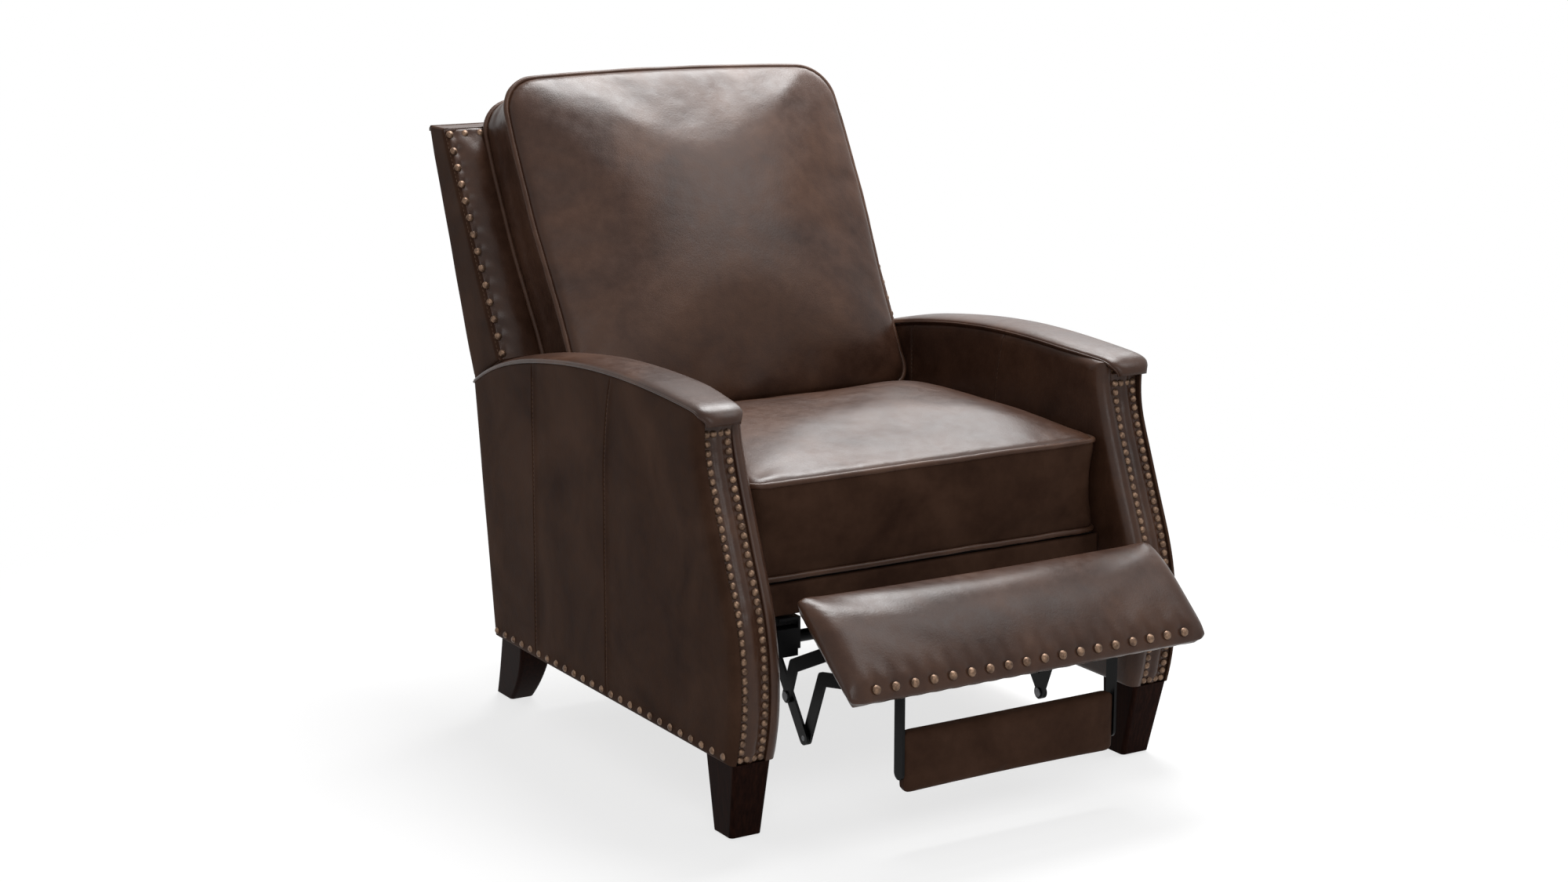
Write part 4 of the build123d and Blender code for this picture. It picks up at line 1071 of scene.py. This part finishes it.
rear_out = np.array([0.0, math.cos(rear_lean), -math.sin(rear_lean)])
rear_half_width = wing_half_width - 3.0
rear_high_z = back_top - 2.0
parts = []
for half_width, low_z, high_z in ((rear_half_width, wing_rear_low[1], rear_high_z),
                                  (deck_half_width, rear_low_z, wing_rear_low[1])):
    corners = oblong(half_width, -half_width, (rear_y(low_z), low_z), (rear_y(high_z), high_z))
    corners = [np.array(corner) - rear_out * back_leather for corner in corners]
    parts.append(panel(corners, back_leather, edge=5.0, puff=1.5, seed=131))
make("back_rear_leather", parts, side_leather, "backrest", ["back_rear_panel"])


# Back pillow. A plump boxed cushion of fibre in a leather cover, sewn to the back along its rear seam, with a
# piped welt in front and behind.

pillow_foot_z = 446.0
pillow_length = 548.0
pillow_half_width = 295.0
pillow_corner = 52.5
pillow_inset = 2.5
pillow_boxing = 92.0
pillow_rear_seam = 4.65
pillow_lift = 0.4
pillow_side_bow = 8.0
pillow_top_bow = 9.0
pillow_sag = 15.0
pillow_low_corner = 15.0
pillow_crown = 50.0
up_back = np.array([0.0, math.sin(front_lean), math.cos(front_lean)])
pillow_foot = np.array([0.0, front_y(pillow_foot_z), pillow_foot_z]) + back_out * pillow_lift
pillow_middle = pillow_foot + up_back * (pillow_length / 2)


def pillow_bow(points):
    """Let the pillow's sides and top belly out between its corners, and its foot settle behind the seat."""
    bow_places = (-150.0, 60.0)
    narrow_from = 150.0
    narrowing = 0.4
    top_from = 100.0
    sag_from = 60.0
    end = pillow_length / 2
    across = points[:, 0] / pillow_half_width
    up = (points - pillow_middle) @ up_back
    narrower = 1 - narrowing * smooth_step(up, narrow_from, end)
    sides = pillow_side_bow * smooth_step(up, *bow_places) * narrower
    top = pillow_top_bow * np.clip(1 - across ** 2, 0, 1) * smooth_step(up, top_from, end)
    into_side = np.clip((np.abs(points[:, 0]) - pillow_half_width) / pillow_corner + 1, 0, 1)
    into_foot = np.clip((-up - end) / pillow_corner + 1, 0, 1)
    corner = pillow_low_corner * into_side * into_foot
    sag = pillow_sag * smooth_step(-up, sag_from, end)
    out = sides * across * np.abs(across) + corner * np.sign(across)
    return points + np.outer(out, [1, 0, 0]) + np.outer(top - corner - sag, up_back)


def pillow_swell(points):
    """How far the pillow's face stands past the CAD crown: nearly flat, with a round roll to its edges."""
    across = np.clip(np.abs(points[:, 0]) / (pillow_half_width - pillow_inset), 0, 1)
    along = np.clip(np.abs((points - pillow_middle) @ up_back) / (pillow_length / 2 - pillow_inset), 0, 1)
    crown = pillow_crown * np.sqrt((1 - across ** 4) * (1 - along ** 4))
    return crown - ((points - pillow_middle) @ back_out - pillow_boxing)


pillow_seams = {}
loop = rounded_loop(pillow_half_width - pillow_inset, pillow_length / 2 - pillow_inset, pillow_corner,
                    seam_step)
for seam, height in (("front", pillow_boxing), ("rear", pillow_rear_seam)):
    pillow_seams[seam] = pillow_middle + back_out * height + loop @ np.array([[1, 0, 0], up_back])
stuffed("back_pillow_filled", ["back_pillow"], "backrest", rest=tuple(-back_out), hold=10.0, voxel=6.0,
        held=np.concatenate(list(pillow_seams.values())), grow=0.001, cap=26.0, calm=(20, 10), bow=pillow_bow,
        swell=pillow_swell)
for seam, seed in (("front", 141), ("rear", 143)):
    piping("back_pillow_" + seam + "_piping", pillow_bow(pillow_seams[seam]), "back_pillow_" + seam + "_welt",
           "backrest", seed)


# Footrest. A crowned pad of foam on a board, its leather pulled over the front edge and nailed through, so
# that it puckers at every nail.

footrest_slope = math.radians(35.6)
footrest_out = np.array([0.0, -math.sin(footrest_slope), math.cos(footrest_slope)])
footrest_up = np.array([0.0, math.cos(footrest_slope), math.sin(footrest_slope)])
footrest_nails = nail_places("footrest_nails")
footrest_widening = 8.0
footrest_rear_swell = 9.0
footrest_rear_reach = (130.0, 10.0)
footrest_top_reach = (50.0, 20.0)
footrest_dimple = 0.9
footrest_dimple_radius = 7.0
pucker_length = 42.0
pucker_width = 7.5
pucker_depth = 3.6
pucker_fan = 0.0022
footrest_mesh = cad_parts["footrest_pad"].data
footrest_points = coordinates(footrest_mesh) / mm
footrest_half = np.abs(footrest_points[:, 0]).max()
footrest_rear = (footrest_points @ footrest_up).max()
footrest_crest = (footrest_points @ footrest_out).max()
footrest_ends = []
for edge in footrest_mesh.edges:
    first, second = (footrest_points[end] for end in edge.vertices)
    if min(abs(first[0]), abs(second[0])) > footrest_half - 1.0 and first[0] * second[0] > 0:
        steps = np.linspace(0, 1, 2 + int(np.linalg.norm(second - first) / 5.0))
        footrest_ends.append(first + steps[:, None] * (second - first))


def footrest_bow(points):
    """Fill the pad out to the arms, and up along its rear edge."""
    rear = smooth_step(points @ footrest_up, *(footrest_rear - reach for reach in footrest_rear_reach))
    top = smooth_step(points @ footrest_out, *(footrest_crest - reach for reach in footrest_top_reach))
    wider = footrest_widening * points[:, 0] / footrest_half
    return points + np.outer(wider, [1, 0, 0]) + np.outer(footrest_rear_swell * rear * top, footrest_out)


def footrest_puckers(points):
    """Depth of the pleats that run up the pad from its nails, and of the dimple round each nail."""
    off = points[:, None] - footrest_nails[None]
    up = off @ footrest_up
    across = off[..., 0] * (1 + pucker_fan * up)
    fade = np.clip(1 - up / pucker_length, 0, 1) ** 1.5 * smooth_step(up, -5.0, 4.0)
    pleats = pucker_depth * np.exp(-(across / pucker_width) ** 2) * fade
    far = np.linalg.norm(off, axis=-1)
    dimples = footrest_dimple * np.exp(-(far / footrest_dimple_radius) ** 2)
    return -(pleats + dimples).max(axis=1)


stuffed("footrest_pad_filled", ["footrest_pad", "footrest_board"], "footrest", rest=tuple(-footrest_out),
        held=np.concatenate([footrest_nails, *footrest_ends]), hold=8.0, voxel=4.5, grow=0.002, cap=7.0,
        easing=1, calm=(6, 40), bow=footrest_bow, relief=footrest_puckers)


# Flap. A small padded panel of foam on a board, wrapped in leather and stapled behind. It hangs on two
# hangers under the footrest, and fills the gap that opens below it.

flap_low, flap_high = box("flap_pad")
flap_middle = (flap_low + flap_high) / 2
flap_corner = 8.0
loop = rounded_loop((flap_high.x - flap_low.x) / 2, (flap_high.z - flap_low.z) / 2, flap_corner, 4.0)
flap_rim = np.column_stack([loop[:, 0], np.full(len(loop), flap_high.y), flap_middle.z + loop[:, 1]])
stuffed("flap_pad_filled", ["flap_pad"], "flap", rest=(0, 1, 0), held=flap_rim, hold=6.0, voxel=4.0,
        grow=0.004, cap=4.0, easing=9, finish=side_leather)


# Studio. A pale floor that keeps the chair's shadow, a white surround, a wide soft lamp over the chair,
# weaker ones behind, in front and to the left, and the camera where the photograph was taken from.

def seen_rays(tree):
    """1 on rays that look at the surround from the camera, by reflection or through glass, otherwise 0."""
    ray = add(tree, "ShaderNodeLightPath")
    seen = add(tree, "ShaderNodeMath", {"operation": "MAXIMUM"},
               {0: ray.outputs["Is Camera Ray"], 1: ray.outputs["Is Transmission Ray"]})
    seen = add(tree, "ShaderNodeMath", {"operation": "MAXIMUM"},
               {0: seen.outputs[0], 1: ray.outputs["Is Glossy Ray"]})
    return seen.outputs[0]


scene = bpy.context.scene
scene.view_settings.view_transform = "Standard"

floor_size = 7.0
floor_mesh = bpy.data.meshes.new("studio_floor")
floor_mesh.from_pydata([(-floor_size, -floor_size, 0), (floor_size, -floor_size, 0),
                        (floor_size, floor_size, 0), (-floor_size, floor_size, 0)], [], [(0, 1, 2, 3)])
floor = bpy.data.objects.new("studio_floor", floor_mesh)
scene.collection.objects.link(floor)
floor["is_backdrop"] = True
paper, tree, place = finish_tree("matt_paper")
paper_white = add(tree, "ShaderNodeBsdfDiffuse", {"Color": linear("#f4f4f4")})
bright = add(tree, "ShaderNodeEmission", {"Color": linear("#ffffff"), "Strength": 1.0})
far = add(tree, "ShaderNodeVectorMath", {"operation": "LENGTH"}, {0: place})
fade = add(tree, "ShaderNodeMapRange", {"From Min": 0.6, "From Max": 1.8, "To Min": 0.72, "To Max": 1.0},
           {"Value": far.outputs["Value"]})
share = add(tree, "ShaderNodeMath", {"operation": "MULTIPLY"}, {0: seen_rays(tree), 1: fade.outputs[0]})
mixed = add(tree, "ShaderNodeMixShader", None,
            {0: share.outputs[0], 1: paper_white.outputs[0], 2: bright.outputs[0]})
add(tree, "ShaderNodeOutputMaterial", None, {"Surface": mixed.outputs[0]})
floor_mesh.materials.append(paper)

world = bpy.data.worlds.new("studio_surround")
world.use_nodes = True
tree = world.node_tree
tree.nodes.clear()
level = add(tree, "ShaderNodeMapRange", {"To Min": 0.42, "To Max": 1.0}, {"Value": seen_rays(tree)})
surround = add(tree, "ShaderNodeBackground", {"Color": linear("#ffffff")}, {"Strength": level.outputs[0]})
add(tree, "ShaderNodeOutputWorld", None, {"Surface": surround.outputs[0]})
scene.world = world


def lamp(name, spot, aim, size, power):
    """Wide soft lamp at a spot in metres, turned to its aim."""
    light = bpy.data.lights.new(name, "AREA")
    light.shape = "DISK"
    light.size = size
    light.energy = power
    holder = bpy.data.objects.new(name, light)
    holder.location = spot
    holder.rotation_euler = (Vector(aim) - Vector(spot)).to_track_quat("-Z", "Y").to_euler()
    holder.visible_camera = False
    scene.collection.objects.link(holder)


lamp("overhead_lamp", (0.62, 0.65, 2.55), (0, 0, 0.5), 1.4, 92.0)
lamp("rear_lamp", (1.9, 1.5, 2.2), (0, 0, 0.5), 1.3, 20.0)
lamp("front_lamp", (1.3, -1.1, 2.75), (0, 0, 0.6), 1.4, 23.0)
lamp("left_lamp", (-1.6, -3.3, 2.2), (0, 0, 0.5), 1.8, 33.0)

azimuth = math.radians(-31.30)
down = math.radians(12.27)
camera_data = bpy.data.cameras.new("camera")
camera_data.lens = 61.50
camera_data.sensor_width = 36.0
camera = bpy.data.objects.new("camera", camera_data)
camera.location = (-2.0920, -3.3560, 1.3084)
behind = Vector((math.sin(azimuth) * math.cos(down), -math.cos(azimuth) * math.cos(down), math.sin(down)))
camera.rotation_euler = (-behind).to_track_quat("-Z", "Y").to_euler()
scene.collection.objects.link(camera)
scene.camera = camera

low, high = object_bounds()
